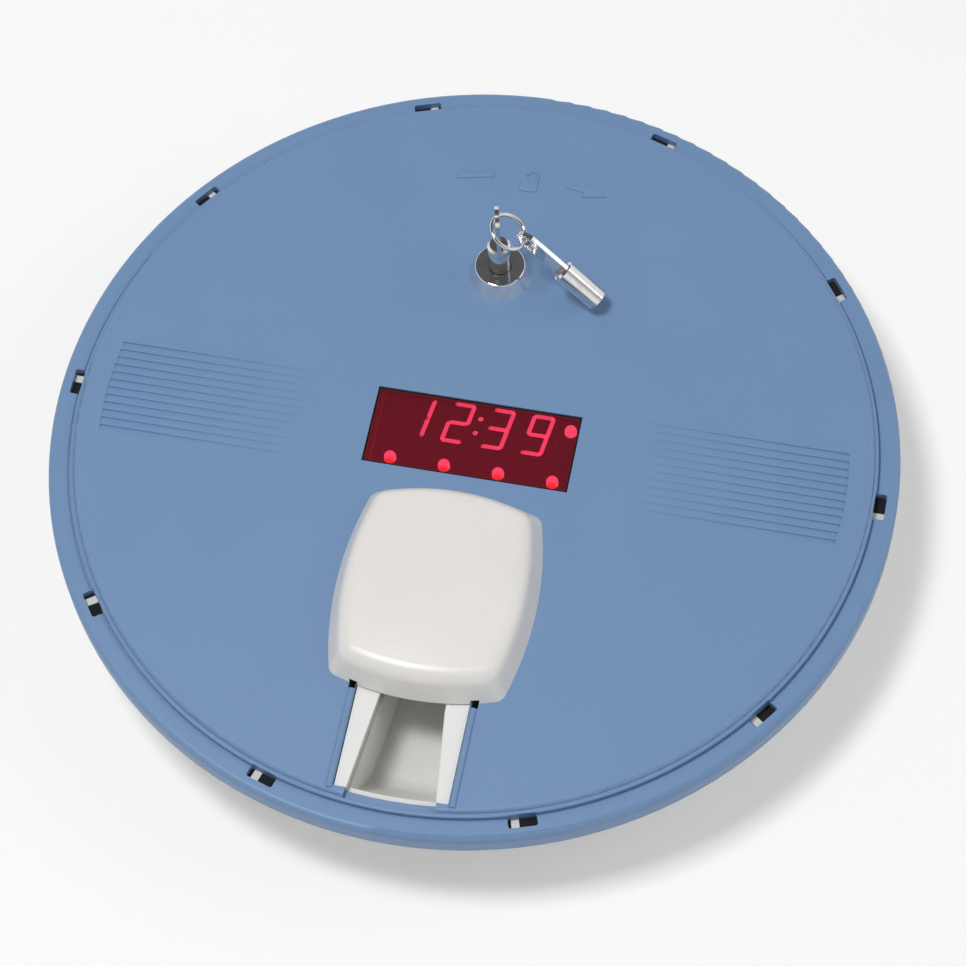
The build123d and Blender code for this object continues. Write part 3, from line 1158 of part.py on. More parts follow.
def make_supply_jack():
    """Power socket in the base's rear wall, with its pin."""
    box = block((JACK_BACK_R, JACK_FRONT_R), (-JACK_HALF, JACK_HALF),
                (FLOOR_TOP_Z, JACK_Z + JACK_HALF))
    along = Pos(JACK_FRONT_R - 1, 0, JACK_Z) * Rot(0, 90, 0)
    nose = along * Cylinder(JACK_BORE_R - 0.1, JACK_NOSE_R - JACK_FRONT_R + 1, align=UPRIGHT)
    deep = Pos(JACK_BACK_R + 4, 0, JACK_Z) * Rot(0, 90, 0)
    socket = deep * Cylinder(JACK_SOCKET_R, 20, align=UPRIGHT)
    pin = deep * Pos(0, 0, -1) * Cylinder(JACK_PIN_R, JACK_NOSE_R - JACK_BACK_R - 4, align=UPRIGHT)
    return turn(JACK_DEG, box + nose - socket + pin)


def make_supply_wires():
    """Two leads from the socket, along the floor and up to the main board."""
    leads = []
    lead_z = FLOOR_TOP_Z + WIRE_R + 0.1
    for side in (-1, 1):
        y = side * (WIRE_R + WIRE_GAP / 2)
        path = FilletPolyline((JACK_BACK_R, y, lead_z), (WIRE_END_R, y, lead_z), (WIRE_END_R, y, BOARD_Z),
                              radius=WIRE_BEND_R)
        start = Plane((JACK_BACK_R, y, lead_z), z_dir=(-1, 0, 0))
        leads.append(turn(JACK_DEG, sweep(start * Circle(WIRE_R), path=path)))
    return Compound(leads)


# ================================================================ write the pieces
def all_pieces():
    """Every piece by the name of its file."""
    pieces = {
        "lid_deck": make_lid_deck, "lid_rim": make_lid_rim, "window_filter": make_window_filter,
        "slide_frame": make_slide_frame, "sliding_hood": make_hood,
        "lock_body": make_lock_body, "lock_washer": make_lock_washer, "lock_nut": make_lock_nut,
        "lock_plug": make_lock_plug, "lock_cam": make_lock_cam, "cam_screw": make_cam_screw,
        "lock_key": make_lock_key, "key_ring": make_key_ring, "spare_key": make_spare_key,
        "tray_floor": make_tray_floor, "tray_inner_wall": make_tray_inner_wall,
        "tray_outer_wall": make_tray_outer_wall, "tray_track": make_tray_track,
        "tray_dividers": make_tray_dividers,
        "tray_ring_gear": make_tray_ring_gear,
        "drive_pinion": make_drive_pinion, "pinion_shaft": make_pinion_shaft,
        "base_bowl": make_base_bowl, "rim_seal": make_rim_seal,
        "rubber_feet": make_rubber_feet,
        "battery_door": make_battery_door, "hub_housing": make_hub_housing,
        "hub_screws": make_hub_screws, "display_module": make_display_module,
        "indicator_lamps": make_indicator_lamps, "display_bezel": make_display_bezel,
        "main_board": make_main_board, "board_screws": make_board_screws,
        "tact_switches": make_tact_switches, "buzzer": make_buzzer,
        "index_sensor": make_index_sensor, "gear_motor": make_gear_motor,
        "motor_screws": make_motor_screws, "battery_holder": make_battery_holder,
        "battery_cells": make_battery_cells, "battery_contacts": make_battery_contacts,
        "supply_jack": make_supply_jack, "supply_wires": make_supply_wires,
    }
    made = {name: make() for name, make in pieces.items()}
    for name, x in zip(BUTTON_NAMES, BUTTON_XS):
        made[name] = make_button(x)
    return made


os.makedirs("parts", exist_ok=True)
for node, piece in all_pieces().items():
    export_step(piece, f"parts/{node}.step")
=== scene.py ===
"""Looks of the automatic pill dispenser: finishes, raised marks, lit clock, studio and camera."""
import logging
import math
from dataclasses import dataclass, field
from enum import Enum
from typing import Sequence, Union

import bmesh
import bpy
from mathutils import Euler, Matrix, Vector


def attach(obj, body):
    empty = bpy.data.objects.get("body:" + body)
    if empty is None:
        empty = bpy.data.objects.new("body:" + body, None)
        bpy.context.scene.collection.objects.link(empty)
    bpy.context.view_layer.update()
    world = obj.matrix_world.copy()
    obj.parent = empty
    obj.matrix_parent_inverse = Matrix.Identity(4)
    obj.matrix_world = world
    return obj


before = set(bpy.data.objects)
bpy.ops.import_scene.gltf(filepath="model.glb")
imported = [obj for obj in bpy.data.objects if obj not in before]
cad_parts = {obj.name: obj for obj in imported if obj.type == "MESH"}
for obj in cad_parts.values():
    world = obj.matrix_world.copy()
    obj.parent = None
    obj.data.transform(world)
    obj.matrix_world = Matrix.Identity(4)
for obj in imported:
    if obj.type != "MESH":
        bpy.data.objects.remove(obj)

LOG = logging.getLogger("pill_dispenser")
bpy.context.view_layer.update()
MM = 0.001

DECK_Z = 47.0
DISPLAY_FACE_Z = 40.6
BED = 0.05              # how far a raised mark starts below the deck

Colour = tuple[float, float, float]


def srgb(red: int, green: int, blue: int) -> Colour:
    """Linear colour of an 8-bit screen colour.

    Args:
        red: red, 0 to 255.
        green: green, 0 to 255.
        blue: blue, 0 to 255.

    Returns:
        The linear colour.
    """
    def linear(value: int) -> float:
        """Linear level of one 8-bit channel."""
        share = value / 255.0
        return share / 12.92 if share <= 0.04045 else ((share + 0.055) / 1.055) ** 2.4

    return linear(red), linear(green), linear(blue)


# ---------------------------------------------------------------- shader maths
class Signal:
    """A shader socket that can be used in Python expressions."""

    def __init__(self, graph: "Graph", socket: bpy.types.NodeSocket) -> None:
        """Wrap a socket.

        Args:
            graph: the graph that the socket belongs to.
            socket: the output socket.
        """
        self.graph = graph
        self.socket = socket

    def _with(self, operation: str, first: "Value", second: "Value") -> "Signal":
        """Add one Math node.

        Args:
            operation: the Math node's operation.
            first: first value.
            second: second value.

        Returns:
            The result.
        """
        return self.graph.node("ShaderNodeMath", {"operation": operation}, {0: first, 1: second})

    def __add__(self, other: "Value") -> "Signal":
        """Sum."""
        return self._with("ADD", self, other)

    def __radd__(self, other: "Value") -> "Signal":
        """Sum, the other way round."""
        return self._with("ADD", other, self)

    def __sub__(self, other: "Value") -> "Signal":
        """Difference."""
        return self._with("SUBTRACT", self, other)

    def __rsub__(self, other: "Value") -> "Signal":
        """Difference, the other way round."""
        return self._with("SUBTRACT", other, self)

    def __mul__(self, other: "Value") -> "Signal":
        """Product."""
        return self._with("MULTIPLY", self, other)

    def __rmul__(self, other: "Value") -> "Signal":
        """Product, the other way round."""
        return self._with("MULTIPLY", other, self)

    def above(self, edge: float, soft: float) -> "Signal":
        """Mask that rises from 0 to 1 round an edge.

        Args:
            edge: value at which the mask is a half.
            soft: width of the rise.

        Returns:
            The mask.
        """
        return self.graph.node(
            "ShaderNodeMapRange", {"interpolation_type": "SMOOTHSTEP"},
            {"Value": self, "From Min": edge - soft / 2, "From Max": edge + soft / 2})


Value = Union[float, Signal]


class Graph:
    """Node tree of one material or of the world."""

    def __init__(self, owner: Union[bpy.types.Material, bpy.types.World]) -> None:
        """Empty the owner's node tree.

        Args:
            owner: the material or world.
        """
        owner.use_nodes = True
        self.tree = owner.node_tree
        self.tree.nodes.clear()

    def node(self, kind: str, settings: dict | None = None, inputs: dict | None = None,
             output: int | str = 0) -> Signal:
        """Add a node.

        Args:
            kind: the node's type.
            settings: attributes set before its sockets; "stops" are a colour ramp's stops.
            inputs: socket name or index to a value or a signal.
            output: name or index of the output to return.

        Returns:
            The chosen output.
        """
        made = self.tree.nodes.new(kind)
        for name, value in (settings or {}).items():
            if name == "stops":
                ramp = made.color_ramp
                while len(ramp.elements) < len(value):
                    ramp.elements.new(0.5)
                for element, (position, colour) in zip(ramp.elements, value):
                    element.position = position
                    element.color = (*colour, 1.0)
            else:
                setattr(made, name, value)
        for key, value in (inputs or {}).items():
            socket = made.inputs[key]
            if isinstance(value, Signal):
                self.tree.links.new(value.socket, socket)
            elif isinstance(value, tuple) and socket.type == "RGBA":
                socket.default_value = (*value, 1.0) if len(value) == 3 else value
            else:
                socket.default_value = value
        if not made.outputs:
            return Signal(self, made.inputs[0])
        return Signal(self, made.outputs[output])

    def place(self) -> Signal:
        """Object coordinates."""
        return self.node("ShaderNodeTexCoord", output="Object")

    def noise(self, scale: float, detail: float = 3.0, roughness: float = 0.5,
              place: Signal | None = None) -> Signal:
        """Noise pattern.

        Args:
            scale: waves for each metre.
            detail: layers of finer noise.
            roughness: strength of the finer layers.
            place: coordinates, or None for the object's own.

        Returns:
            A value from 0 to 1.
        """
        return self.node("ShaderNodeTexNoise", {},
                         {"Vector": place or self.place(), "Scale": scale, "Detail": detail,
                          "Roughness": roughness}, "Fac")

    def stretched(self, along: tuple[float, float, float]) -> Signal:
        """Object coordinates scaled along each axis.

        Args:
            along: scale of each axis.

        Returns:
            The coordinates.
        """
        return self.node("ShaderNodeMapping", {}, {"Vector": self.place(), "Scale": along})

    def blend(self, share: Value, low: Union[Colour, Signal], high: Union[Colour, Signal]) -> Signal:
        """Mix of two colours.

        Args:
            share: 0 for the first, 1 for the second.
            low: first colour.
            high: second colour.

        Returns:
            The mixed colour.
        """
        return self.node("ShaderNodeMix", {"data_type": "RGBA"}, {0: share, 6: low, 7: high}, 2)

    def bump(self, height: Signal, depth: float, strength: float) -> Signal:
        """Surface normal from a height pattern.

        Args:
            height: pattern from 0 to 1.
            depth: its real depth in metres.
            strength: share of the effect.

        Returns:
            The normal.
        """
        return self.node("ShaderNodeBump", {}, {"Height": height, "Distance": depth,
                                                "Strength": strength})

    def principled(self, sockets: dict) -> Signal:
        """Principled shader with the given sockets."""
        return self.node("ShaderNodeBsdfPrincipled", {}, sockets)

    def finish(self, shader: Signal) -> None:
        """Send a shader to the surface output."""
        self.node("ShaderNodeOutputMaterial", {}, {"Surface": shader})


def scaled(colour: Colour, factor: float) -> Colour:
    """Colour times a factor."""
    return tuple(min(1.0, channel * factor) for channel in colour)


# ---------------------------------------------------------------- finishes
@dataclass(frozen=True)
class MouldedPlastic:
    """Injection-moulded plastic with a fine spark-eroded grain."""

    name: str
    colour: Colour
    roughness: float = 0.42
    grain: float = 1500.0
    grain_depth: float = 0.00004
    mottle: float = 0.035
    coat: float = 0.0
    scuff: float = 0.0
    cloud_scale: float = 38.0
    rub_scale: float = 90.0

    def build(self, name: str) -> bpy.types.Material:
        """Make the material.

        Args:
            name: the material's name.

        Returns:
            The material.
        """
        material = bpy.data.materials.new(name)
        graph = Graph(material)
        clouds = graph.noise(self.cloud_scale, 4.0, 0.55)
        speckle = graph.noise(self.grain * 0.55, 2.0, 0.6)
        tone = clouds * 0.6 + speckle * 0.4
        base = graph.blend(tone.above(0.5, 0.6), scaled(self.colour, 1 - self.mottle),
                           scaled(self.colour, 1 + self.mottle))
        fine = graph.noise(self.grain, 2.0, 0.6)
        roughness = self.roughness - 0.05 + clouds * 0.06 + speckle * 0.04
        if self.scuff:
            rubbed = graph.noise(self.rub_scale, 6.0, 0.7).above(0.66, 0.10)
            roughness = roughness + rubbed * self.scuff
            base = graph.blend(rubbed * (self.scuff * 0.5), base, scaled(self.colour, 1.12))
        graph.finish(graph.principled({
            "Base Color": base, "Roughness": roughness, "IOR": 1.49,
            "Coat Weight": self.coat, "Coat Roughness": 0.25,
            "Normal": graph.bump(fine, self.grain_depth, 0.35)}))
        return material


@dataclass(frozen=True)
class Plated:
    """Metal with a plated or polished skin, faint polishing lines and dull spots."""

    name: str
    colour: Colour
    roughness: float = 0.10
    lines: float = 900.0
    line_depth: float = 0.000008
    haze: float = 0.10
    haze_scale: float = 260.0

    def build(self, name: str) -> bpy.types.Material:
        """Make the material.

        Args:
            name: the material's name.

        Returns:
            The material.
        """
        material = bpy.data.materials.new(name)
        graph = Graph(material)
        strokes = graph.noise(self.lines, 3.0, 0.6, graph.stretched((1.0, 1.0, 0.08)))
        haze = graph.noise(self.haze_scale, 4.0, 0.6)
        base = graph.blend(haze.above(0.55, 0.3), self.colour, scaled(self.colour, 0.88))
        graph.finish(graph.principled({
            "Base Color": base, "Metallic": 1.0,
            "Roughness": self.roughness + haze.above(0.6, 0.3) * self.haze + strokes * 0.04,
            "Normal": graph.bump(strokes, self.line_depth, 0.3)}))
        return material


@dataclass(frozen=True)
class TintedPane:
    """Pane tinted in the mass, a little cloudy, with painted shade along the edges of its upper
    face.
    """

    name: str
    tint: Colour
    body: Colour
    half: tuple[float, float]
    face_z: float
    cloud: float = 0.20
    sheen: float = 0.08
    # colour of the painted shade that darkens the pane's upper face along its edges
    edge_shade_colour: Colour = (0.012, 0.008, 0.006)
    dust_scale: float = 420.0
    streak_scale: float = 260.0

    def build(self, name: str) -> bpy.types.Material:
        """Make the material.

        Args:
            name: the material's name.

        Returns:
            The material.
        """
        material = bpy.data.materials.new(name)
        graph = Graph(material)
        dust = graph.noise(self.dust_scale, 5.0, 0.7)
        through = graph.node("ShaderNodeBsdfTransparent", {}, {"Color": self.tint})
        # painted shade: a near-black band along the edges of the pane's upper face, standing in for
        # the shadow at the window's edge
        edge_shade_mask = self._painted_edge_shade(graph)
        streaks = graph.noise(self.streak_scale, 4.0, 0.6, graph.stretched((1.0, 0.15, 1.0)))
        body = graph.blend(streaks * 0.5, self.body, scaled(self.body, 0.8))
        skin = graph.principled({
            "Base Color": graph.blend(edge_shade_mask, body, self.edge_shade_colour),
            "Roughness": self.sheen + dust.above(0.68, 0.1) * 0.25})
        film = edge_shade_mask * (0.97 - self.cloud) + self.cloud
        graph.finish(graph.node("ShaderNodeMixShader", {}, {0: film, 1: through, 2: skin}))
        return material


    def _painted_edge_shade(self, graph: Graph) -> Signal:
        """Mask of the painted shade, 1 along the edges of the pane's upper face.

        Args:
            graph: the material's graph.

        Returns:
            The mask.
        """
        mask = None
        for axis, half in zip("XY", self.half):
            place = graph.node("ShaderNodeSeparateXYZ", {}, {0: graph.place()}, axis)
            across = graph.node("ShaderNodeMath", {"operation": "ABSOLUTE"}, {0: place})
            side = across.above(half, 0.0004)
            mask = side if mask is None else mask + side - mask * side
        height = graph.node("ShaderNodeSeparateXYZ", {}, {0: graph.place()}, "Z")
        return mask * height.above(self.face_z, 0.0002)


@dataclass(frozen=True)
class Glow:
    """Lit part of the clock or of a lamp."""

    name: str
    colour: Colour
    edge: Colour
    strength: float
    lower_y: float | None = None
    ripple_scale: float = 700.0

    def build(self, name: str) -> bpy.types.Material:
        """Make the material.

        Args:
            name: the material's name.

        Returns:
            The material.
        """
        material = bpy.data.materials.new(name)
        graph = Graph(material)
        ripple = graph.noise(self.ripple_scale, 2.0, 0.5)
        if self.lower_y is None:
            share = ripple.above(0.5, 0.8)
        else:
            y = graph.node("ShaderNodeSeparateXYZ", {}, {0: graph.place()}, "Y")
            share = y.above(self.lower_y, 0.0012)
        light = graph.blend(share, self.edge, self.colour)
        graph.finish(graph.principled({
            "Base Color": scaled(self.colour, 0.6), "Roughness": 0.25 + ripple * 0.1,
            "Emission Color": light, "Emission Strength": self.strength}))
        return material


@dataclass(frozen=True)
class Rubber:
    """Matt rubber or soft insulation with a dusty bloom."""

    name: str
    colour: Colour
    roughness: float = 0.75
    bloom_scale: float = 150.0
    pore_scale: float = 2200.0

    def build(self, name: str) -> bpy.types.Material:
        """Make the material.

        Args:
            name: the material's name.

        Returns:
            The material.
        """
        material = bpy.data.materials.new(name)
        graph = Graph(material)
        bloom = graph.noise(self.bloom_scale, 5.0, 0.65)
        pores = graph.noise(self.pore_scale, 2.0, 0.5)
        base = graph.blend(bloom.above(0.6, 0.3) * 0.35, self.colour, scaled(self.colour, 2.2))
        graph.finish(graph.principled({
            "Base Color": base, "Roughness": self.roughness + bloom * 0.12,
            "Normal": graph.bump(pores, 0.00005, 0.4)}))
        return material


@dataclass(frozen=True)
class PrintedBoard:
    """Solder mask with copper tracks showing under it."""

    name: str
    mask: Colour
    copper: Colour
    track_scale: float = 160.0

    def build(self, name: str) -> bpy.types.Material:
        """Make the material.

        Args:
            name: the material's name.

        Returns:
            The material.
        """
        material = bpy.data.materials.new(name)
        graph = Graph(material)
        tracks = graph.node("ShaderNodeTexBrick", {"offset": 0.37, "squash": 1.6},
                            {"Vector": graph.place(), "Scale": self.track_scale, "Mortar Size": 0.06,
                             "Mortar Smooth": 0.2}, "Fac")
        base = graph.blend(tracks, self.mask, self.copper)
        graph.finish(graph.principled({
            "Base Color": base, "Roughness": 0.32 + graph.noise(300.0) * 0.08,
            "Normal": graph.bump(tracks, 0.00004, 0.5)}))
        return material


class Finish(Enum):
    """Every finish on the dispenser."""

    LID_BLUE = MouldedPlastic("lid_blue", srgb(112, 144, 184), 0.44, 1300.0, 0.00005, 0.02)
    HOOD_WHITE = MouldedPlastic("hood_white", srgb(232, 229, 225), 0.36, 1100.0, 0.00006, 0.03, 0.15)
    FRAME_WHITE = MouldedPlastic("frame_white", srgb(233, 233, 231), 0.40, 1500.0, 0.00003, 0.02)
    TRAY_WHITE = MouldedPlastic("tray_white", srgb(228, 228, 224), 0.34, 1500.0, 0.00003, 0.02, 0.1)
    BASE_WHITE = MouldedPlastic("base_white", srgb(226, 226, 222), 0.45, 1300.0, 0.00006, 0.03,
                                0.0, 0.08)
    HUB_WHITE = MouldedPlastic("hub_white", srgb(224, 223, 219), 0.42, 1300.0, 0.00005, 0.02)
    NYLON = MouldedPlastic("gear_nylon", srgb(226, 221, 205), 0.40, 900.0, 0.00003, 0.03)
    BLACK = MouldedPlastic("black_moulding", srgb(26, 25, 26), 0.50, 1500.0, 0.00005, 0.10)
    DARK_CASE = MouldedPlastic("dark_case", srgb(34, 34, 36), 0.38, 1700.0, 0.00003, 0.10)
    BUTTON_GREY = MouldedPlastic("button_grey", srgb(122, 128, 136), 0.46, 1700.0, 0.00005, 0.03)
    CLOCK_FACE = MouldedPlastic("clock_face", srgb(34, 30, 32), 0.30, 1700.0, 0.00002, 0.05)
    UNLIT = MouldedPlastic("unlit_segment", srgb(70, 60, 62), 0.30, 1700.0, 0.00002, 0.05)
    # the half sizes and face height place the painted shade along the filter's edges
    FILTER = TintedPane("red_filter", (0.72, 0.33, 0.40), (0.54, 0.045, 0.085),
                        (31.8 * MM, 12.75 * MM), 46.3 * MM)
    SEGMENT_LIT = Glow("segment_lit", (1.0, 0.30, 0.46), (1.0, 0.26, 0.42), 2.2)
    LAMP_LIT = Glow("lamp_lit", (1.0, 0.32, 0.48), (1.0, 0.09, 0.01), 2.4, -8.9 * MM)
    CHROME = Plated("lock_chrome", (0.86, 0.86, 0.88), 0.05, 900.0, 0.000004, 0.06)
    KEY_CHROME = Plated("key_nickel", (0.74, 0.73, 0.73), 0.10, 1100.0, 0.000008, 0.10)
    ZINC = Plated("zinc_plate", (0.66, 0.67, 0.70), 0.26, 700.0, 0.00001, 0.12)
    WIRE = Plated("spring_wire", (0.70, 0.68, 0.66), 0.14, 1500.0, 0.000005, 0.08)
    BRASS = Plated("pinion_brass", (0.80, 0.60, 0.28), 0.22, 900.0, 0.00001, 0.12)
    MOTOR_CAN = Plated("motor_can", (0.60, 0.61, 0.63), 0.32, 500.0, 0.00001, 0.10)
    CELL = Plated("cell_jacket", (0.62, 0.42, 0.20), 0.28, 900.0, 0.00001, 0.10)
    FOOT_RUBBER = Rubber("foot_rubber", (0.018, 0.018, 0.018))
    # near-black ring seen through the rim slots: a dark part put where the slots hold only shade
    SEAL_FOAM = Rubber("seal_foam", (0.012, 0.012, 0.012), 0.9)
    INSULATION = Rubber("wire_insulation", (0.02, 0.02, 0.022), 0.5)
    BOARD = PrintedBoard("main_board", srgb(22, 92, 48), srgb(44, 122, 66))

    def material(self) -> bpy.types.Material:
        """The finish's material, made on first use."""
        name = "finish_" + self.value.name
        return bpy.data.materials.get(name) or self.value.build(name)


# ---------------------------------------------------------------- mesh tools
class Form:
    """A mesh in the making, in millimetres, that becomes one piece."""

    def __init__(self) -> None:
        """Start empty."""
        self.mesh = bmesh.new()

    def _moved(self, verts: Sequence[bmesh.types.BMVert], matrix: Matrix) -> None:
        """Apply a matrix to some vertices.

        Args:
            verts: the vertices.
            matrix: the change.
        """
        bmesh.ops.transform(self.mesh, matrix=matrix, verts=list(verts))

    def _bevelled(self, edges: Sequence[bmesh.types.BMEdge], radius: float, segments: int) -> None:
        """Round some edges.

        Args:
            edges: the edges.
            radius: size of the rounding.
            segments: facets across it.
        """
        if radius > 0:
            bmesh.ops.bevel(self.mesh, geom=list(edges), offset=radius, offset_type="OFFSET",
                            segments=segments, profile=0.5, affect="EDGES", material=-1)

    @staticmethod
    def _upper_edges(verts: Sequence[bmesh.types.BMVert]) -> list[bmesh.types.BMEdge]:
        """Edges along the top of some vertices."""
        top = max(vert.co.z for vert in verts)
        high = {vert for vert in verts if vert.co.z > top - 1e-6}
        return list({edge for vert in high for edge in vert.link_edges
                     if edge.verts[0] in high and edge.verts[1] in high
                     and len(edge.link_faces) == 2
                     and any(face.normal.z < 0.5 for face in edge.link_faces)})

    def prism(self, sides: int, radius: float, height: float, matrix: Matrix,
              rounding: float = 0.0) -> None:
        """Upright prism or disc standing on z 0.

        Args:
            sides: number of sides.
            radius: distance from the centre to a corner.
            height: its height.
            matrix: its place.
            rounding: rounding of its top edge.
        """
        made = bmesh.ops.create_cone(self.mesh, cap_ends=True, segments=sides, radius1=radius,
                                     radius2=radius, depth=height)["verts"]
        self._moved(made, Matrix.Translation((0, 0, height / 2)))
        self.mesh.normal_update()
        before = set(self.mesh.verts) - set(made)
        self._bevelled(self._upper_edges(made), rounding, 2)
        self._moved([vert for vert in self.mesh.verts if vert not in before], matrix)

    def bar(self, length: float, width: float, height: float, matrix: Matrix,
            pointed: float = 0.0, rounding: float = 0.0) -> None:
        """Flat bar standing on z 0, with its long way along X.

        Args:
            length: size along X.
            width: size along Y.
            height: size along Z.
            matrix: its place.
            pointed: chamfer of its upright corners.
            rounding: rounding of its top edge.
        """
        before = set(self.mesh.verts)
        made = bmesh.ops.create_cube(self.mesh, size=1.0)["verts"]
        self._moved(made, Matrix.Diagonal((length, width, height, 1.0)))
        self._moved(made, Matrix.Translation((0, 0, height / 2)))
        uprights = list({edge for vert in made for edge in vert.link_edges
                         if abs(edge.verts[0].co.z - edge.verts[1].co.z) > 1e-6})
        self._bevelled(uprights, pointed, 1)
        self.mesh.normal_update()
        fresh = [vert for vert in self.mesh.verts if vert not in before]
        self._bevelled(self._upper_edges(fresh), rounding, 2)
        self._moved([vert for vert in self.mesh.verts if vert not in before], matrix)

    def swept(self, width: float, height: float, radius: float, from_deg: float, to_deg: float,
              base: Vector, rounding: float = 0.0) -> None:
        """Flat bar bent round an upright line.

        Args:
            width: width across the bend.
            height: height above the base.
            radius: middle radius.
            from_deg: start angle.
            to_deg: end angle.
            base: point on the upright line, at the bar's foot.
            rounding: rounding of the long top edges.
        """
        before = set(self.mesh.verts)
        face = bmesh.ops.create_grid(self.mesh, x_segments=1, y_segments=1, size=0.5)["verts"]
        self._moved(face, Matrix.Diagonal((width, height, 1.0, 1.0)))
        self._moved(face, Matrix.Translation((radius, 0, height / 2)) @ Matrix.Rotation(
            math.radians(90), 4, "X"))
        self._moved(face, Matrix.Rotation(math.radians(from_deg), 4, "Z"))
        self._moved(face, Matrix.Translation(base))
        start = list({face for vert in face for face in vert.link_faces})
        steps = max(4, round(abs(to_deg - from_deg) / 3))
        bmesh.ops.spin(self.mesh, geom=start, cent=base, axis=(0, 0, 1),
                       angle=math.radians(to_deg - from_deg), steps=steps)
        self.mesh.normal_update()
        fresh = [vert for vert in self.mesh.verts if vert not in before]
        bmesh.ops.recalc_face_normals(self.mesh, faces=list({face for vert in fresh
                                                             for face in vert.link_faces}))
        self._bevelled(self._upper_edges(fresh), rounding, 2)

    def piece(self, name: str, body: str, finish: Finish, slot: str,
              smooth: bool = True) -> bpy.types.Object:
        """Close the form into an object that rides on a body.

        Args:
            name: the piece's name.
            body: the body that carries it.
            finish: its finish.
            slot: not used.
            smooth: whether faces share their shading.

        Returns:
            The new object.
        """
        self._moved(self.mesh.verts, Matrix.Scale(MM, 4))
        bmesh.ops.remove_doubles(self.mesh, verts=list(self.mesh.verts), dist=1e-7)
        bmesh.ops.recalc_face_normals(self.mesh, faces=list(self.mesh.faces))
        for face in self.mesh.faces:
            face.smooth = smooth
        data = bpy.data.meshes.new(name)
        self.mesh.to_mesh(data)
        self.mesh.free()
        if smooth:
            data.set_sharp_from_angle(angle=math.radians(38))
        made = bpy.data.objects.new(name, data)
        bpy.context.scene.collection.objects.link(made)
        data.materials.append(finish.material())
        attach(made, body)
        LOG.info("piece %s on %s, %d faces", name, body, len(data.polygons))
        return made


def dress(finishes: dict[str, Finish]) -> None:
    """Give carried-over nodes their finishes.

    Args:
        finishes: node name to its finish.
    """
    for node, finish in finishes.items():
        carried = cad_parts[node]
        carried.data.materials.clear()
        carried.data.materials.append(finish.material())
        LOG.info("node %s wears %s", node, finish.value.name)


def at(x: float, y: float, z: float, turn_deg: float = 0.0) -> Matrix:
    """Place in millimetres with a turn about the upright axis."""
    return Matrix.Translation((x, y, z)) @ Matrix.Rotation(math.radians(turn_deg), 4, "Z")


# ---------------------------------------------------------------- sub-assemblies
@dataclass
class Lid:
    """Blue lid with its filter, slide frame and raised turning mark."""

    mark_radius: float = 98.2
    mark_rise: float = 0.4
    mark_width: float = 2.0
    mark_rounding: float = 0.2
    tail_deg: tuple[float, float] = (97.2, 104.2)
    shaft_deg: tuple[float, float] = (79.2, 83.1)
    head_deg: float = 78.0
    head_radius: float = 4.2
    sign_at: tuple[float, float] = (-0.3, 97.2)
    sign_body: tuple[float, float] = (5.6, 4.2)
    sign_bar: float = 0.8
    sign_rounding: float = 0.12
    shackle_radius: float = 1.7

    def dress(self) -> None:
        """Finish the lid's carried-over nodes."""
        dress({"lid_deck": Finish.LID_BLUE, "lid_rim": Finish.LID_BLUE,
               "window_filter": Finish.FILTER, "slide_frame": Finish.FRAME_WHITE})

    def arrow(self) -> None:
        """Raised arrow on an arc at the rear, pointing the way the lid unlocks."""
        foot = Vector((0, 0, DECK_Z - BED))
        tail = Form()
        tail.swept(self.mark_width, self.mark_rise + BED, self.mark_radius, *self.tail_deg, foot,
                   self.mark_rounding)
        tail.piece("turn_mark_tail", "lid", Finish.LID_BLUE, "blue_plastic")
        head = Form()
        head.swept(self.mark_width, self.mark_rise + BED, self.mark_radius, *self.shaft_deg, foot,
                   self.mark_rounding)
        angle = math.radians(self.head_deg)
        centre = (self.mark_radius * math.cos(angle), self.mark_radius * math.sin(angle))
        point = at(*centre, foot.z, self.head_deg - 90) @ Matrix.Diagonal((1.15, 0.8, 1, 1))
        head.prism(3, self.head_radius, self.mark_rise + BED, point @ Matrix.Rotation(
            math.radians(-90), 4, "Z"), self.mark_rounding)
        head.piece("turn_mark_head", "lid", Finish.LID_BLUE, "blue_plastic")

    def open_sign(self) -> None:
        """Raised open padlock between the arrow's two parts."""
        x, y = self.sign_at
        width, height = self.sign_body
        foot = DECK_Z - BED
        rise = self.mark_rise + BED
        bar, radius = self.sign_bar, self.shackle_radius
        sign = Form()
        sign.bar(width, height, rise, at(x, y - height / 2, foot), 0.5, 0.15)
        sign.swept(bar, rise, radius, 0, 180, Vector((x + 0.6, y + 1.9, foot)), self.sign_rounding)
        sign.bar(bar, 2.0, rise, at(x + 0.6 + radius, y + 0.9, foot), 0, self.sign_rounding)
        sign.piece("turn_mark_sign", "lid", Finish.LID_BLUE, "blue_plastic")


@dataclass
class Hood:
    """Sliding hood over the pill opening."""

    def dress(self) -> None:
        """Finish the hood."""
        dress({"sliding_hood": Finish.HOOD_WHITE})


@dataclass
class LockAndKeys:
    """Tubular lock, its cam and the two keys on their ring."""

    def dress(self) -> None:
        """Finish the lock and the keys."""
        dress({"lock_body": Finish.CHROME, "lock_plug": Finish.CHROME, "lock_washer": Finish.ZINC,
               "lock_nut": Finish.ZINC, "lock_cam": Finish.ZINC, "cam_screw": Finish.ZINC,
               "lock_key": Finish.KEY_CHROME, "spare_key": Finish.KEY_CHROME,
               "key_ring": Finish.WIRE})


class Segment(Enum):
    """Bars of one digit: middle across and up from its centre, and whether it lies flat."""

    TOP = (0.0, 1.0, True)
    UPPER_RIGHT = (1.0, 0.5, False)
    LOWER_RIGHT = (1.0, -0.5, False)
    BOTTOM = (0.0, -1.0, True)
    LOWER_LEFT = (-1.0, -0.5, False)
    UPPER_LEFT = (-1.0, 0.5, False)
    MIDDLE = (0.0, 0.0, True)


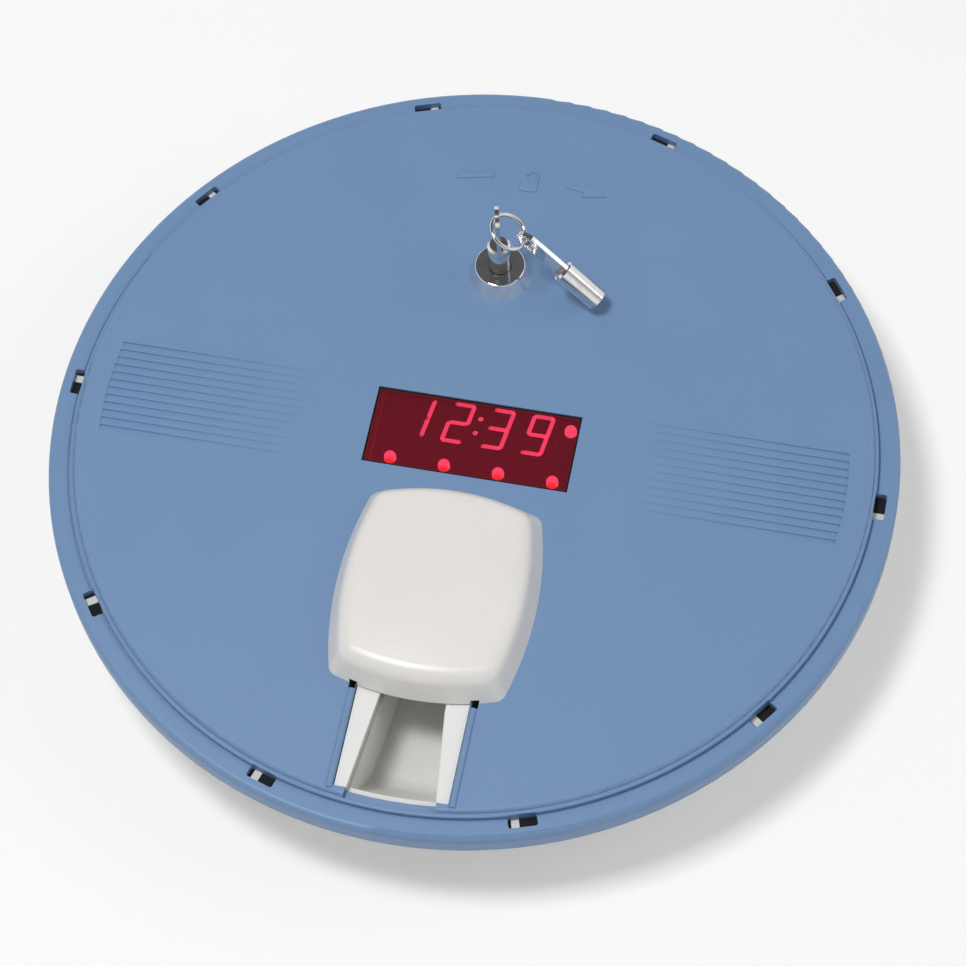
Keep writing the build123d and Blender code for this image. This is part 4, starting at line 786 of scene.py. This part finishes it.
LIT_BARS = {
    "1": (Segment.UPPER_RIGHT, Segment.LOWER_RIGHT),
    "2": (Segment.TOP, Segment.UPPER_RIGHT, Segment.MIDDLE, Segment.LOWER_LEFT, Segment.BOTTOM),
    "3": (Segment.TOP, Segment.UPPER_RIGHT, Segment.MIDDLE, Segment.LOWER_RIGHT, Segment.BOTTOM),
    "9": (Segment.TOP, Segment.UPPER_RIGHT, Segment.UPPER_LEFT, Segment.MIDDLE,
          Segment.LOWER_RIGHT, Segment.BOTTOM),
}


@dataclass
class Clock:
    """Red clock display with its lamps."""

    reading: str = "1239"
    digit_pitch: float = 12.7
    digit_height: float = 14.7
    digit_width: float = 7.4
    bar_width: float = 1.35
    slant_deg: float = 8.0
    middle_y: float = 8.1
    bar_gap: float = -0.30
    bar_point: float = 0.34
    proud: float = 0.06
    colon_gap: float = 5.2
    dot_radius: float = 0.8
    dot_sides: int = 20

    def dress(self) -> None:
        """Finish the display's carried-over nodes."""
        dress({"display_module": Finish.CLOCK_FACE, "display_bezel": Finish.BLACK,
               "indicator_lamps": Finish.LAMP_LIT})

    def _slanted(self, x: float) -> Matrix:
        """Place of a digit's centre on the display's face, with the digits' slant.

        Args:
            x: the centre's place along the row.

        Returns:
            The matrix.
        """
        shear = Matrix.Identity(4)
        shear[0][1] = math.tan(math.radians(self.slant_deg))
        return at(x, self.middle_y, DISPLAY_FACE_Z) @ shear

    def digits(self) -> None:
        """Lit and unlit bars of the four digits."""
        lit, dark = Form(), Form()
        half_w = (self.digit_width - self.bar_width) / 2
        half_h = (self.digit_height - self.bar_width) / 2
        for place, figure in enumerate(self.reading):
            slanted = self._slanted((place - (len(self.reading) - 1) / 2) * self.digit_pitch)
            for bar in Segment:
                across, up, flat = bar.value
                length = (2 * half_w if flat else half_h) - self.bar_gap
                form = lit if bar in LIT_BARS[figure] else dark
                form.bar(length, self.bar_width, self.proud,
                         slanted @ at(across * half_w, up * half_h, 0.0, 0.0 if flat else 90.0),
                         self.bar_width * self.bar_point)
        for side in (-1, 1):
            lit.prism(self.dot_sides, self.dot_radius, self.proud,
                      self._slanted(0.0) @ at(0.0, side * self.colon_gap / 2, 0.0))
        lit.piece("clock_lit_bars", "base", Finish.SEGMENT_LIT, "lamp_red", smooth=False)
        dark.piece("clock_unlit_bars", "base", Finish.UNLIT, "display_black", smooth=False)


@dataclass
class Carousel:
    """Pill tray with its drive."""

    def dress(self) -> None:
        """Finish the tray and its gears."""
        dress({"tray_floor": Finish.TRAY_WHITE, "tray_inner_wall": Finish.TRAY_WHITE,
               "tray_outer_wall": Finish.TRAY_WHITE, "tray_track": Finish.TRAY_WHITE,
               "tray_dividers": Finish.TRAY_WHITE, "tray_ring_gear": Finish.NYLON,
               "drive_pinion": Finish.BRASS, "pinion_shaft": Finish.WIRE,
               "gear_motor": Finish.MOTOR_CAN, "motor_screws": Finish.ZINC,
               "index_sensor": Finish.DARK_CASE})


@dataclass
class Base:
    """White base with its hub, feet and battery door."""

    def dress(self) -> None:
        """Finish the base's carried-over nodes."""
        dress({"base_bowl": Finish.BASE_WHITE, "battery_door": Finish.BASE_WHITE,
               # the near-black seal stands in for the shade inside the rim slots
               "rim_seal": Finish.SEAL_FOAM,
               "hub_housing": Finish.HUB_WHITE, "hub_screws": Finish.ZINC,
               "rubber_feet": Finish.FOOT_RUBBER})


@dataclass
class Electronics:
    """Board, switches, sounder, wiring and cells."""

    def dress(self) -> None:
        """Finish the electrical nodes."""
        dress({"main_board": Finish.BOARD, "board_screws": Finish.ZINC,
               "tact_switches": Finish.DARK_CASE, "buzzer": Finish.DARK_CASE,
               "supply_jack": Finish.BLACK, "supply_wires": Finish.INSULATION,
               "battery_holder": Finish.BLACK, "battery_cells": Finish.CELL,
               "battery_contacts": Finish.ZINC})


@dataclass
class Buttons:
    """Setting buttons on the hub's panel."""

    names: tuple[str, ...] = ("program_button", "hour_button", "minute_button", "test_button")

    def dress(self) -> None:
        """Finish the buttons."""
        dress({name: Finish.BUTTON_GREY for name in self.names})


# ---------------------------------------------------------------- studio
@dataclass(frozen=True)
class Softbox:
    """Rectangular studio lamp."""

    name: str
    place: tuple[float, float, float]
    size: tuple[float, float]
    power: float
    aim: tuple[float, float, float] = (0.0, 0.0, 0.03)

    def build(self) -> None:
        """Hang the lamp and aim it."""
        data = bpy.data.lights.new(self.name, "AREA")
        data.shape = "RECTANGLE"
        data.size, data.size_y = self.size
        data.energy = self.power
        lamp = bpy.data.objects.new(self.name, data)
        lamp.location = self.place
        towards = Vector(self.aim) - Vector(self.place)
        lamp.rotation_euler = towards.to_track_quat("-Z", "Y").to_euler()
        bpy.context.scene.collection.objects.link(lamp)


@dataclass
class Studio:
    """Pale floor, soft lamps, white surroundings and the camera."""

    lens: float = 117.63
    eye: tuple[float, float, float] = (0.128876, -0.458738, 0.90602)
    turn_deg: tuple[float, float, float] = (28.118, 2.20847, 11.2966)
    floor_reach: float = 6.0
    surround: float = 0.42
    ceiling: float = 0.10
    ceiling_from: float = 0.45
    floor_white: float = 0.86
    floor_glow: float = 0.16
    lamps: tuple[Softbox, ...] = field(default=(
        Softbox("key_lamp", (-0.28, -0.18, 1.36), (0.28, 0.28), 9.0),
        Softbox("side_lamp", (1.1, 0.25, 1.0), (0.9, 0.9), 2.6),
    ))

    def floor(self) -> None:
        """Plain pale floor that keeps the shadow and reads as white."""
        form = bmesh.new()
        bmesh.ops.create_grid(form, x_segments=1, y_segments=1, size=self.floor_reach)
        bmesh.ops.translate(form, verts=form.verts, vec=(0, 0, -0.0003))
        data = bpy.data.meshes.new("studio_floor")
        form.to_mesh(data)
        form.free()
        floor = bpy.data.objects.new("studio_floor", data)
        bpy.context.scene.collection.objects.link(floor)
        material = bpy.data.materials.new("studio_floor")
        graph = Graph(material)
        rays = graph.node("ShaderNodeLightPath", output="Is Camera Ray")
        mirror = graph.node("ShaderNodeLightPath", output="Is Glossy Ray")
        glow = graph.node("ShaderNodeEmission", {}, {"Color": (1.0, 1.0, 1.0),
                                                     "Strength": self.floor_glow})
        paint = graph.principled({"Base Color": (self.floor_white,) * 3, "Roughness": 0.9,
                                  "Specular IOR Level": 0.0})
        lit = graph.node("ShaderNodeAddShader", {}, {0: paint, 1: glow})
        share = rays + mirror
        graph.finish(graph.node("ShaderNodeMixShader", {}, {0: share, 1: paint, 2: lit}))
        data.materials.append(material)

    def surroundings(self) -> None:
        """Even light from all round, white where it is seen directly or mirrored."""
        world = bpy.data.worlds.new("surroundings")
        bpy.context.scene.world = world
        graph = Graph(world)
        seen = graph.node("ShaderNodeLightPath", output="Is Camera Ray")
        mirrored = graph.node("ShaderNodeLightPath", output="Is Glossy Ray")
        way = graph.node("ShaderNodeTexCoord", output="Generated")
        height = graph.node("ShaderNodeSeparateXYZ", {}, {0: way}, "Z")
        ceiling = height.above(self.ceiling_from, 0.35)
        shown = graph.blend(ceiling, (1.0, 1.0, 1.0), (self.ceiling,) * 3)
        soft = graph.node("ShaderNodeBackground", {}, {"Color": (1.0, 1.0, 1.0),
                                                       "Strength": self.surround})
        mirror = graph.node("ShaderNodeBackground", {}, {"Color": shown, "Strength": 1.0})
        white = graph.node("ShaderNodeBackground", {}, {"Color": (1.0, 1.0, 1.0), "Strength": 1.0})
        lit = graph.node("ShaderNodeMixShader", {}, {0: mirrored, 1: soft, 2: mirror})
        mixed = graph.node("ShaderNodeMixShader", {}, {0: seen, 1: lit, 2: white})
        graph.node("ShaderNodeOutputWorld", {}, {"Surface": mixed})

    def camera(self) -> None:
        """Camera above the front, a little to the right."""
        data = bpy.data.cameras.new("camera")
        data.lens = self.lens
        data.sensor_width = 36.0
        data.clip_start, data.clip_end = 0.05, 30.0
        camera = bpy.data.objects.new("camera", data)
        camera.location = self.eye
        camera.rotation_euler = Euler([math.radians(turn) for turn in self.turn_deg], "XYZ")
        bpy.context.scene.collection.objects.link(camera)
        bpy.context.scene.camera = camera

    def build(self) -> None:
        """Set up everything that is not the object."""
        bpy.context.scene.view_settings.view_transform = "Standard"
        self.camera()
        self.floor()
        self.surroundings()
        for lamp in self.lamps:
            lamp.build()


def main() -> None:
    """Build the looks of the whole dispenser in order."""
    logging.basicConfig(level=logging.INFO, format="%(message)s")
    Studio().build()
    lid = Lid()
    lid.dress()
    lid.arrow()
    lid.open_sign()
    Hood().dress()
    LockAndKeys().dress()
    clock = Clock()
    clock.dress()
    clock.digits()
    for part in (Carousel(), Base(), Electronics(), Buttons()):
        part.dress()


if __name__ == "__main__":
    main()
